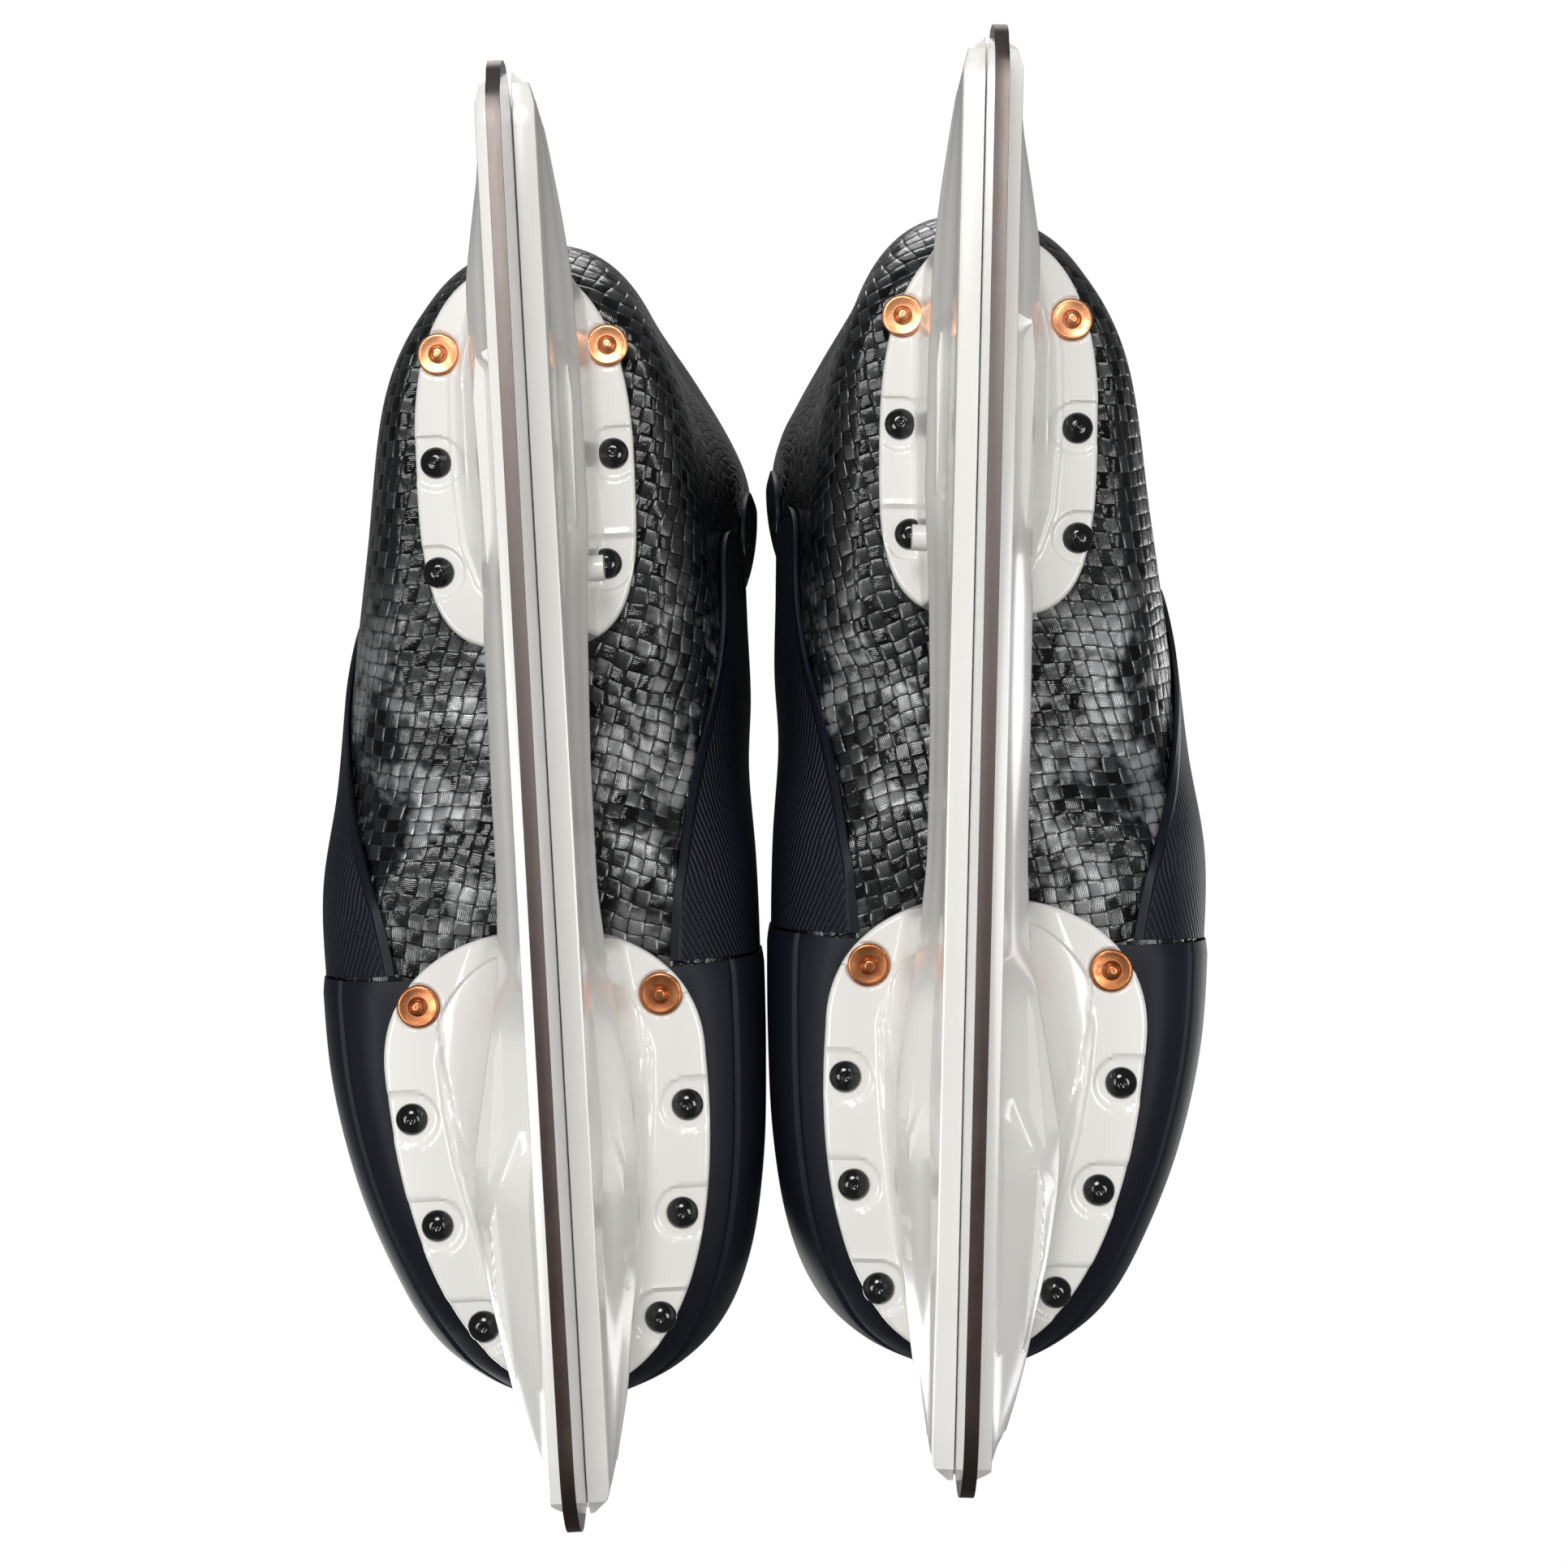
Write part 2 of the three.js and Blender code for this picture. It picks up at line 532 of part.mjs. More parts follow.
// Keel stations: y, lower z, top z, lateral and medial half widths at the shoulder
const KEEL = [
  [HOLDER_HEEL_Y, RAIL_Z + 4, RAIL_Z + 11, 2.4, 2.4],
  [HOLDER_HEEL_Y - 3, RAIL_Z + 1.2, RAIL_Z + 15, 5.2, 5.2],
  [HOLDER_HEEL_Y - 10, RAIL_Z, RAIL_Z + 19, 7, 6.8],
  [125, RAIL_Z, BRIDGE_TOP_Z + 1, 10.5, 8.6],
  [112, RAIL_Z, BRIDGE_TOP_Z + 6, 13.2, 9.8],
  [90, RAIL_Z, BRIDGE_TOP_Z + 7, 13.2, 10.4],
  [60, RAIL_Z, BRIDGE_TOP_Z + 6, 12.6, 10.6],
  [36, RAIL_Z, BRIDGE_TOP_Z + 2, BRIDGE_LATERAL, BRIDGE_MEDIAL + 0.8],
  [8, RAIL_Z, BRIDGE_TOP_Z, BRIDGE_LATERAL, BRIDGE_MEDIAL],
  [-20, RAIL_Z, BRIDGE_TOP_Z, BRIDGE_LATERAL, BRIDGE_MEDIAL],
  [-38, RAIL_Z, BRIDGE_TOP_Z + 1, BRIDGE_LATERAL + 1, BRIDGE_MEDIAL + 1.4],
  [-60, RAIL_Z, BRIDGE_TOP_Z + 3, 18.2, 13.4],
  [-79, RAIL_Z, BRIDGE_TOP_Z + 4, 21.4, 14.2],
  [-100, RAIL_Z, BRIDGE_TOP_Z + 3, 18, 13],
  [-120, RAIL_Z, BRIDGE_TOP_Z, 13.2, 10.4],
  [HOLDER_TOE_Y + 10, RAIL_Z, RAIL_Z + 16, 8.2, 7.2],
  [HOLDER_TOE_Y + 3, RAIL_Z + 1.2, RAIL_Z + 12, 5.2, 5.2],
  [HOLDER_TOE_Y, RAIL_Z + 4, RAIL_Z + 8, 2.4, 2.4],
];

function keel() {
  return loft(KEEL.map(([y, low, top, lateral, medial]) => {
    const foot = Math.min(RAIL_HALF, lateral);
    const shoulder = mix(low, top, 0.82);
    const neck = mix(low, top, 0.3);
    return [
      [foot, y, low], [mix(foot, lateral, 0.12), y, neck], [lateral, y, shoulder],
      [lateral - 1.6, y, top], [-medial + 1.6, y, top], [-medial, y, shoulder],
      [-mix(foot, medial, 0.12), y, neck], [-foot, y, low],
    ];
  }));
}

/** Tower from inside the keel up to inside its plate: stations of y, lateral, medial. */
function tower(form, lowZ, low, high) {
  const ring = (stations, z) => [
    ...stations.map(([y, lateral]) => [lateral, y, z]),
    ...stations.slice().reverse().map(([y, , medial]) => [-medial, y, z]),
  ];
  const flare = high.map(([y, a, b], i) => [mix(low[i][0], y, 0.7),
    mix(low[i][1], a, 0.42), mix(low[i][2], b, 0.42)]);
  const topZ = form.seat - PLATE_WALL / 2;
  return loft([ring(low, lowZ), ring(flare, mix(lowZ, topZ, 0.62)), ring(high, topZ)]);
}

// ---- release mechanism places, [y, z]
const TRIGGER_AT = [50, BRIDGE_TOP_Z + 9.5];
const HOOK_Y = 56;                 // front face of the runner's rear post
const HOOK_Z = 40;                 // underside of the tooth on that post
const BOSS_AT = [HOLDER_TOE_Y + 12, RUNNER_TOP_Z + 1.5];
const BOSS_RADIUS = 4.2;
const POST_WIDTH = 9;
const TOOTH = 2.6;

function holder() {
  const heel = { ...HEEL_PLATE, seat: HEEL_SOLE_Z - SEAT_GAP };
  const toe = { ...TOE_PLATE, seat: TOE_SOLE_Z - SEAT_GAP };
  const heelTower = tower(heel, BRIDGE_TOP_Z - 3,
    [[133, 3.5, 2.5], [112, 11, 8], [80, 11.5, 9], [42, 9.6, 9], [35, 7, 6.6]],
    [[117, 10, 2], [108, 18, 9], [80, 20, 11], [50, 17.5, 7.2], [39, 11, 3]]);
  const toeTower = tower(toe, BRIDGE_TOP_Z - 3,
    [[-33, 7, 6.5], [-56, 14, 11], [-79, 19, 12.4], [-104, 14, 10.8], [-137, 4.5, 3.5]],
    [[-38, 15, 4], [-56, 27, 16], [-79, 26, 15.5], [-104, 19.5, 11.5], [-128, 9, 1.5]]);
  const body = join(keel(), heelTower, toeTower, platePiece(heel, heel.seat),
    platePiece(toe, toe.seat));
  const slotHalf = RUNNER_WIDTH / 2 + SLOT_GAP;
  const roof = RUNNER_TOP_Z + SLOT_GAP;
  const slot = plate([[HOLDER_TOE_Y - 5, 0], [HOLDER_HEEL_Y + 5, 0], [HOLDER_HEEL_Y + 5, roof],
    [BOSS_AT[0], roof], [BOSS_AT[0], roof + 1.3], [HOLDER_TOE_Y - 5, roof + 1.3]],
  -slotHalf, slotHalf);
  const bossPocket = crossCylinder(BOSS_RADIUS + 0.5, -slotHalf, slotHalf, ...BOSS_AT, 16);
  const postPocket = plate([[HOOK_Y - TOOTH - 8.6, roof - 3], [HOOK_Y + POST_WIDTH + 1.1, roof - 3],
    [HOOK_Y + POST_WIDTH + 1.1, HOOK_Z + 5.2], [HOOK_Y - TOOTH - 8.6, HOOK_Z + 5.2]],
  -slotHalf, slotHalf);
  const bay = TRIGGER_WIDTH / 2 + TRIGGER_GAP;
  const noseSweep = (TRIGGER_AT[1] - HOOK_Z + 6) * Math.sin(THREE.MathUtils.degToRad(TRIGGER_SWING));
  const bayFront = TRIGGER_AT[0] - 4.2 - noseSweep;
  const triggerBay = plate([[20, BRIDGE_TOP_Z + 2.3], [bayFront, BRIDGE_TOP_Z + 2.3],
    [bayFront, HOOK_Z - 7.5], [HOOK_Y + 2.2, HOOK_Z - 7.5], [HOOK_Y + 2.2, BRIDGE_TOP_Z + 17],
    [20, BRIDGE_TOP_Z + 17]], -bay, bay);
  const coilBay = crossCylinder(5, bay - 1, bay + 3.6, ...TRIGGER_AT, 12);
  const pinBore = crossCylinder(TRIGGER_PIN / 2 + RIVET_GAP, -30, 30, ...TRIGGER_AT, 8);
  return cut(body, slot, bossPocket, postPocket, triggerBay, coilBay, pinBore,
    ...rivetBores(PLATE_WALL + 4));
}

// ---------------------------------------------------------------- runner and its latch
function arcPoints(centre, radius, fromDegrees, toDegrees, steps) {
  return range(0, steps).map((i) => {
    const a = THREE.MathUtils.degToRad(mix(fromDegrees, toDegrees, i / steps));
    return [centre[0] + radius * Math.cos(a), centre[1] + radius * Math.sin(a)];
  });
}

function runner() {
  const half = RUNNER_LENGTH / 2;
  const rise = (y) => Math.max(0, Math.abs(y) - RUNNER_FLAT / 2) ** 2 / (2 * ROCKER_RADIUS);
  const lower = [-128, -110, -90, -60, -RUNNER_FLAT / 2, RUNNER_FLAT / 2, 60, 90, 115, 132]
    .map((y) => [y, rise(y)]);
  const toeTip = [[-half + 1, 15], [-half + 1.6, 10.5], [-half + 5.5, 5.2], [-half + 11, 2.7]];
  const heelTip = [[half - 8, 3.6], [half - 2.5, 7], [half - 0.4, 11], [half, 15.5]];
  const dip = THREE.MathUtils.radToDeg(Math.asin((BOSS_AT[1] - RUNNER_TOP_Z) / BOSS_RADIUS));
  const boss = arcPoints(BOSS_AT, BOSS_RADIUS, -dip, 180 + dip, 8);
  const top = RUNNER_TOP_Z;
  const post = [
    [HOOK_Y + POST_WIDTH, top], [HOOK_Y + POST_WIDTH, HOOK_Z + 4.4], [HOOK_Y - TOOTH, HOOK_Z + 4.4],
    [HOOK_Y - TOOTH, HOOK_Z + 2.4], [HOOK_Y, HOOK_Z - 1.6], [HOOK_Y, top],
  ];
  const outline = [...toeTip, ...lower, ...heelTip, [half - 4.5, top - 7], [half - 12, top],
    ...post, ...boss, [-half + 4, top - 4]];
  return plate(outline, -RUNNER_WIDTH / 2, RUNNER_WIDTH / 2);
}

/** Lever on a cross pin: finger pad forward, latch nose below, under the runner's tooth. */
function releaseTrigger() {
  const [y, z] = TRIGGER_AT;
  const arm = plate([
    [y - 3.4, z + 2.6], [y - 19, z + 1.6], [y - 22, z + 0.2], [y - 22, z - 2.2], [y - 18, z - 3.2],
    [y - 6, z - 3.4], [y - 4.4, z - 8], [y - 4.2, HOOK_Z - 3.6], [y - 1.5, HOOK_Z - 5.6],
    [HOOK_Y - 0.8, HOOK_Z - 5.6], [HOOK_Y - 0.8, HOOK_Z - 3.4], [HOOK_Y - 3.5, HOOK_Z + 1.0],
    [y + 1.4, z - 8], [y + 3.6, z - 3], [y + 3.6, z + 1.4], [y + 1, z + 3.4], [y - 1.4, z + 3.4],
  ], -TRIGGER_WIDTH / 2, TRIGGER_WIDTH / 2);
  const nose = plate([[y - 8, HOOK_Z - 8], [HOOK_Y + 3, HOOK_Z - 8], [HOOK_Y + 3, z - 9],
    [y - 8, z - 9]], RUNNER_WIDTH / 2 - 0.1, TRIGGER_WIDTH);
  const otherNose = plate([[y - 8, HOOK_Z - 8], [HOOK_Y + 3, HOOK_Z - 8], [HOOK_Y + 3, z - 9],
    [y - 8, z - 9]], -TRIGGER_WIDTH, -RUNNER_WIDTH / 2 + 0.1);
  const bore = crossCylinder(TRIGGER_PIN / 2 + TRIGGER_GAP, -10, 10, y, z, 8);
  return cut(arm, nose, otherNose, bore);
}

function triggerPin() {
  return crossCylinder(TRIGGER_PIN / 2, -12, 12, ...TRIGGER_AT, 8);
}

/** Torsion coil beside the lever, as the ring that its turns fill. */
function triggerSpring() {
  const inner = TRIGGER_PIN / 2 + 0.5;
  const outer = 4.4;
  const x0 = TRIGGER_WIDTH / 2 + TRIGGER_GAP;
  const x1 = x0 + 2.9;
  const profile = [[inner, 0], [outer, 0], [outer, x1 - x0], [inner, x1 - x0], [inner, 0]];
  const ring = new THREE.LatheGeometry(profile.map(([r, h]) => new THREE.Vector2(r, h)), 12);
  ring.rotateZ(-Math.PI / 2);
  return merged(ring.translate(x0, ...TRIGGER_AT));
}

// ---------------------------------------------------------------- rivets
// Rivet places as [y, lateral x, medial x]
const HEEL_COPPER = [[101.4, 23, -15.2]];
const HEEL_BLACK = [[77, 24.9, -15.2], [52.2, 25.6, -12.4]];
const TOE_COPPER = [[-44.4, 33.6, -20]];
const TOE_BLACK = [[-69.2, 36.4, -24.6], [-93, 32, -22.2], [-115.8, 23, -16.2]];

/** Each rivet's name, place and seat height. */
function rivetPlaces() {
  const places = [];
  const add = (kind, plateName, list, seat) => {
    list.forEach(([y, lateral, medial], i) => {
      const row = list.length > 1 ? `_${i + 1}` : '';
      places.push({ name: `${kind}_rivet_${plateName}_lateral${row}`, kind, x: lateral, y, seat });
      places.push({ name: `${kind}_rivet_${plateName}_medial${row}`, kind, x: medial, y, seat });
    });
  };
  add('copper', 'heel', HEEL_COPPER, HEEL_SOLE_Z);
  add('copper', 'toe', TOE_COPPER, TOE_SOLE_Z);
  add('black', 'heel', HEEL_BLACK, HEEL_SOLE_Z);
  add('black', 'toe', TOE_BLACK, TOE_SOLE_Z);
  return places;
}

function upright(radius, x, y, z0, z1, sides) {
  const geometry = new THREE.CylinderGeometry(radius, radius, z1 - z0, sides);
  geometry.rotateX(Math.PI / 2);
  return merged(geometry.translate(x, y, (z0 + z1) / 2));
}

/** Bores through a plate and the sole above it, each reaching down by the given depth. */
function rivetBores(depth) {
  return rivetPlaces().map(({ x, y, seat }) =>
    upright(RIVET_SHANK / 2 + RIVET_GAP, x, y, seat - depth, seat + 5, RIVET_SIDES));
}

/** Heads hang under the plate; the shank ends level with the inside of the shell. */
function rivet({ kind, x, y, seat }) {
  const under = seat - SEAT_GAP - PLATE_WALL - RIVET_GAP;
  const shell = seat === HEEL_SOLE_Z ? HEEL_SOLE_Z : BOOT_SOLE_Z;
  const end = shell + SHELL_WALL - 0.1;
  const shank = RIVET_SHANK / 2;
  const profile = kind === 'copper'
    ? [[0, -2.6], [0.9, -2.4], [1.5, -1], [WASHER / 2, -1], [WASHER / 2, 0], [shank, 0]]
    : [[0, -2], [RIVET_HEAD * 0.36, -1.5], [RIVET_HEAD / 2, -0.2], [RIVET_HEAD / 2, 0], [shank, 0]];
  const points = [...profile.map(([r, h]) => new THREE.Vector2(r, under + h)),
    new THREE.Vector2(shank, end), new THREE.Vector2(0, end)];
  const geometry = new THREE.LatheGeometry(points, kind === 'copper' ? 12 : RIVET_SIDES);
  geometry.rotateX(Math.PI / 2);
  return merged(geometry.translate(x, y, 0));
}

// ---------------------------------------------------------------- materials and assembly
const finish = (color, roughness, metalness) => ({ color, roughness, metalness });
const CARBON = finish(0x1a1c20, 0.25, 0);
const NAVY = finish(0x12161f, 0.55, 0);
const WHITE = finish(0xe9e7e2, 0.18, 0);
const STEEL = finish(0xb8babd, 0.12, 1);
const COPPER = finish(0xb8683c, 0.3, 1);
const BLACK = finish(0x0c0c0d, 0.2, 0);
const FABRIC = finish(0x1b1c1f, 0.9, 0);
const FELT = finish(0x6e6f73, 0.95, 0);

function skatePieces() {
  const bores = rivetBores(2);
  const pieces = [
    ['shell', cut(shell(), ...bores), CARBON],
    ['toe_cap', cut(toeCap(), ...bores.filter((_, i) => rivetPlaces()[i].seat === TOE_SOLE_Z)), NAVY],
    ['lateral_side_panel', sidePanel(1), NAVY],
    ['medial_side_panel', sidePanel(-1), NAVY],
    ['lateral_eyelet_facing', eyeletFacing(1), BLACK],
    ['medial_eyelet_facing', eyeletFacing(-1), BLACK],
    ['liner', liner(), FABRIC],
    ['insole', insole(), FABRIC],
    ['tongue', tongue(), FELT],
    ['tendon_guard', tendonGuard(), NAVY],
    ['holder', holder(), WHITE],
    ['runner', runner(), STEEL],
    ['release_trigger', releaseTrigger(), BLACK],
    ['trigger_pin', triggerPin(), STEEL],
    ['trigger_spring', triggerSpring(), STEEL],
  ];
  rivetPlaces().forEach((place) =>
    pieces.push([place.name, rivet(place), place.kind === 'copper' ? COPPER : BLACK]));
  return pieces;
}

function placeSkate(pieces, name, side) {
  const skate = new THREE.Group();
  for (const [piece, geometry, look] of pieces) {
    const mesh = new THREE.Mesh(geometry, new THREE.MeshStandardMaterial(look));
    mesh.name = `${name}_${piece}`;
    skate.add(mesh);
  }
  skate.scale.x = side;
  skate.rotation.z = -side * THREE.MathUtils.degToRad(TOE_IN);
  skate.position.set(side * BLADE_SPACING / 2, -side * STAGGER / 2, 0);
  return skate;
}

const pair = new THREE.Group();
const pieces = skatePieces();
pair.add(placeSkate(pieces, 'left', 1), placeSkate(pieces, 'right', -1));
pair.position.y = -new THREE.Box3().setFromObject(pair, true).getCenter(new THREE.Vector3()).y;

export default pair;
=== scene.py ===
"""Looks for a pair of ice hockey skates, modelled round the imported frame.

One skate is shaped in millimetres with its blade in the plane x = 0 and its lateral side at +X.
Each finished piece is then copied to both skates, mirrored on the right one, and scaled to metres.
"""
import math

import bpy
import numpy as np
from mathutils import Matrix, Vector


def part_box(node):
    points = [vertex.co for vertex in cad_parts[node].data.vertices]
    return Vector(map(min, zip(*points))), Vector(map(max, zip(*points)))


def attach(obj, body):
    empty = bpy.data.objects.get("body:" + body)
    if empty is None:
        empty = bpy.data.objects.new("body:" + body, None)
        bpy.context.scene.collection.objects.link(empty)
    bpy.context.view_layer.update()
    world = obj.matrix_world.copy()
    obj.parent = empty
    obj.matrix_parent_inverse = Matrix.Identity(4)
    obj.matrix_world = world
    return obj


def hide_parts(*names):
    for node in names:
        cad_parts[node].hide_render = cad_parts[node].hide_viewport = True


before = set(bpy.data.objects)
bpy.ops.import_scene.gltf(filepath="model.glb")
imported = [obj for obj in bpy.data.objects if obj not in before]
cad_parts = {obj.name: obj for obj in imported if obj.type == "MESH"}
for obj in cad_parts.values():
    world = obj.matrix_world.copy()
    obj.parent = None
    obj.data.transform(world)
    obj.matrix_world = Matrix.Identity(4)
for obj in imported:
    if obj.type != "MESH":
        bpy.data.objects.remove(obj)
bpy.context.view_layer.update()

bl_info = {
    "name": "Hockey Skate Looks",
    "version": (1, 0, 0),
    "blender": (4, 5, 0),
    "location": "View3D > Sidebar > Skates",
    "description": "Models the boots, holders, runners and rivets of a pair of ice hockey skates",
    "category": "Object",
}

MM = 0.001

# ---------------------------------------------------------------- where the skates stand
BLADE_SPACING = 89.4
TOE_IN = 2.2
STAGGER = 5.6
PAIR_SHIFT = sum(sum(corner[1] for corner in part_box(side + "_runner"))
                 for side in ("left", "right")) / 4 / MM
SIDES = (("left", 1), ("right", -1))

# ---------------------------------------------------------------- sizes of one boot
BOOT_LENGTH = 272.5
TOE_Y = 4.5 - BOOT_LENGTH * 0.525
HEEL_Y = TOE_Y + BOOT_LENGTH
BALL_WIDTH = 97.5
HEEL_WIDTH = 67
ANKLE_WIDTH = 91
COLLAR_WIDTH = 81
BALL_CENTRE = 8.4
HEEL_CENTRE = 4
ANKLE_CENTRE = 0.7
TOE_BOX = 52
SHELL_HEIGHT = 189
INSTEP_HEIGHT = 98
CREASE_RADIUS = 25
TOE_SOLE_Z = 62
HEEL_SOLE_Z = 73
BOOT_SOLE_Z = TOE_SOLE_Z + 1.6
FAN = (4.5, HEEL_SOLE_Z + INSTEP_HEIGHT + CREASE_RADIUS)
COLLAR_Z = HEEL_SOLE_Z + SHELL_HEIGHT
SIDE_COLUMNS = 6
TOP_COLUMNS = 2
LAST_COLUMN = 8
COLLAR_ROW = 20


def mix(a, b, share):
    """Runs from a to b as share runs from 0 to 1."""
    return a + (b - a) * share


def ease(share):
    """A smooth step from 0 to 1."""
    g = np.clip(share, 0, 1)
    return g * g * (3 - 2 * g)


def sole_height(y):
    """Height of the sole: level under both plates, with a slope at the arch between them."""
    start = TOE_Y + BOOT_LENGTH * 0.41
    return mix(BOOT_SOLE_Z, HEEL_SOLE_Z, ease((y - start) / (BOOT_LENGTH * 0.22)))


def foot_section(place, lift, height, width, centre, power):
    """An upright section of the boot across the foot."""
    y = TOE_Y + BOOT_LENGTH * place
    half = BALL_WIDTH / 2 * width
    bottom = float(sole_height(y)) + lift * TOE_BOX
    return (y, bottom, y, BOOT_SOLE_Z + height, half, half, centre, power, 2.2)


def fan_section(angle, reach, half, low_half, centre, power):
    """A section turned about the front of the ankle, angle degrees back from straight down."""
    s, c = math.sin(math.radians(angle)), math.cos(math.radians(angle))
    return (FAN[0] + reach * s, FAN[1] - reach * c, FAN[0] + CREASE_RADIUS * s,
            FAN[1] - CREASE_RADIUS * c, half, low_half, centre, power, 2.1)


def leg_section(share, front, back, half):
    """A level section round the leg."""
    z = mix(FAN[1], COLLAR_Z, share)
    return (HEEL_Y - back, z, FAN[0] + CREASE_RADIUS + front, z, half, half,
            ANKLE_CENTRE, 2.1, 2.2)


def to_sole(angle):
    return (INSTEP_HEIGHT + CREASE_RADIUS + 3) / math.cos(math.radians(angle))


def to_heel(angle, depth):
    return (HEEL_Y - depth - FAN[0]) / math.sin(math.radians(angle))


VAMP = 1.35 * TOE_BOX
TO_CREASE = HEEL_SOLE_Z + INSTEP_HEIGHT - BOOT_SOLE_Z
BALL_HALF, HEEL_HALF = BALL_WIDTH / 2, HEEL_WIDTH / 2
ANKLE_HALF, COLLAR_HALF = ANKLE_WIDTH / 2, COLLAR_WIDTH / 2
SECTIONS = np.array([
    foot_section(0.000, 0.43, 0.43 * TOE_BOX + 1, 0.01, BALL_CENTRE - 2, 2),
    foot_section(0.010, 0.27, 0.64 * TOE_BOX, 0.22, BALL_CENTRE - 3, 2.1),
    foot_section(0.032, 0.115, 0.80 * TOE_BOX, 0.46, BALL_CENTRE - 4, 2.3),
    foot_section(0.068, 0.000, 0.91 * TOE_BOX, 0.66, BALL_CENTRE - 4, 2.7),
    foot_section(0.122, -0.035, 0.98 * TOE_BOX, 0.80, BALL_CENTRE - 3.6, 3.4),
    foot_section(0.196, -0.05, 1.05 * TOE_BOX, 0.91, BALL_CENTRE - 2, 4.0),
    foot_section(0.281, -0.055, 1.15 * TOE_BOX, 0.975, BALL_CENTRE - 0.5, 4.2),
    foot_section(0.369, -0.055, VAMP, 1.00, BALL_CENTRE, 4.0),
    foot_section(0.444, -0.055, mix(VAMP, TO_CREASE, 0.46), 1.01, BALL_CENTRE + 0.4, 3.6),
    fan_section(0, to_sole(0), BALL_HALF - 0.7, mix(BALL_HALF, HEEL_HALF, 0.08), BALL_CENTRE, 3.5),
    fan_section(14, to_sole(14), mix(BALL_HALF, ANKLE_HALF, 0.4),
                mix(BALL_HALF, HEEL_HALF, 0.22), BALL_CENTRE - 2, 3.8),
    fan_section(27, to_sole(27), mix(BALL_HALF, ANKLE_HALF, 0.85),
                mix(ANKLE_HALF, HEEL_HALF, 0.3), HEEL_CENTRE + 0.8, 4.2),
    fan_section(38, to_sole(38), ANKLE_HALF, mix(ANKLE_HALF, HEEL_HALF, 0.65), HEEL_CENTRE, 4.2),
    fan_section(45.5, to_heel(45.5, 11), ANKLE_HALF, HEEL_HALF * 0.98, HEEL_CENTRE - 0.6, 3.2),
    fan_section(53, to_heel(53, 1.5), ANKLE_HALF, HEEL_HALF * 0.96, HEEL_CENTRE - 1.6, 2.5),
    fan_section(62, to_heel(62, 1), ANKLE_HALF, HEEL_HALF * 1.02, ANKLE_CENTRE + 1, 2.3),
    fan_section(75, to_heel(75, 8), ANKLE_HALF, ANKLE_HALF * 0.92, ANKLE_CENTRE, 2.1),
    fan_section(90, to_heel(90, 14), mix(ANKLE_HALF, COLLAR_HALF, 0.35),
                mix(ANKLE_HALF, COLLAR_HALF, 0.45), ANKLE_CENTRE, 2.0),
    leg_section(0.33, -1, 15, mix(ANKLE_HALF, COLLAR_HALF, 0.85)),
    leg_section(0.67, -1, 14, COLLAR_HALF),
    leg_section(1, -2, 10, COLLAR_HALF + 0.5),
    leg_section(1.2, -3, 8.5, COLLAR_HALF + 0.5),
    leg_section(1.5, -6, 6, COLLAR_HALF + 0.5),
])


def section_at(row):
    """Sections in between the listed ones, on a curve that passes through them."""
    last = len(SECTIONS) - 1
    row = np.clip(row, 0, last)
    base = np.minimum(np.floor(row).astype(int), last - 1)
    t = (row - base)[..., None]
    p0, p1 = SECTIONS[np.maximum(base - 1, 0)], SECTIONS[base]
    p2, p3 = SECTIONS[base + 1], SECTIONS[np.minimum(base + 2, last)]
    return p1 + 0.5 * t * (p2 - p0 + t * (2 * p0 - 5 * p1 + 4 * p2 - p3
                                          + t * (3 * (p1 - p2) + p3 - p0)))


def bare_boot(rows, columns):
    """Points on the boot's surface. Column 0 is the sole's middle, 6 the lace edge, 8 the top."""
    rows, columns = np.broadcast_arrays(rows, columns)
    s = section_at(rows)
    edge = mix(0.885, 0.79, ease((rows - 6) / 10))
    side = np.abs(columns)
    share = np.where(side <= SIDE_COLUMNS, edge * side / SIDE_COLUMNS,
                     mix(edge, 1, (side - SIDE_COLUMNS) / TOP_COLUMNS))
    angle = share * math.pi
    power = 2 / np.where(angle < math.pi / 2, s[..., 7], s[..., 8])
    cosine = np.cos(angle)
    deep = np.sign(cosine) * np.abs(cosine) ** power
    wide = np.abs(np.sin(angle)) ** power
    y = mix(s[..., 2], s[..., 0], (1 + deep) / 2)
    z = mix(s[..., 3], s[..., 1], (1 + deep) / 2)
    half = mix(s[..., 4], s[..., 5], ease(deep / 0.6))
    x = s[..., 6] + half * wide * np.sign(columns)
    return np.stack([x, y, np.maximum(z, sole_height(y))], axis=-1)


def boot(rows, columns, offset=0.0):
    """The same, moved out along the surface's normal by offset millimetres."""
    rows, columns = np.broadcast_arrays(np.asarray(rows, float), np.asarray(columns, float))
    step = 0.06
    low_row = np.maximum(rows - step, 0.02)
    turn = np.clip(columns, -LAST_COLUMN + step, LAST_COLUMN - step)
    across = bare_boot(rows, turn + step) - bare_boot(rows, turn - step)
    on = bare_boot(low_row + 2 * step, columns) - bare_boot(low_row, columns)
    normal = np.cross(on, across)
    length = np.linalg.norm(normal, axis=-1, keepdims=True)
    s = section_at(rows)
    middle = np.stack([s[..., 6], (s[..., 0] + s[..., 2]) / 2, (s[..., 1] + s[..., 3]) / 2], -1)
    points = bare_boot(rows, columns)
    away = points - middle
    away /= np.maximum(np.linalg.norm(away, axis=-1, keepdims=True), 1e-6)
    normal = np.where(length > 1e-7, normal / np.maximum(length, 1e-9), away)
    normal *= np.where(np.sum(normal * away, -1, keepdims=True) < 0, -1, 1)
    nose = ease(1 - rows / 0.6)[..., None]
    normal = normal * (1 - nose) + np.array([0, -1, 0]) * nose
    normal /= np.linalg.norm(normal, axis=-1, keepdims=True)
    return points + normal * np.asarray(offset)[..., None]


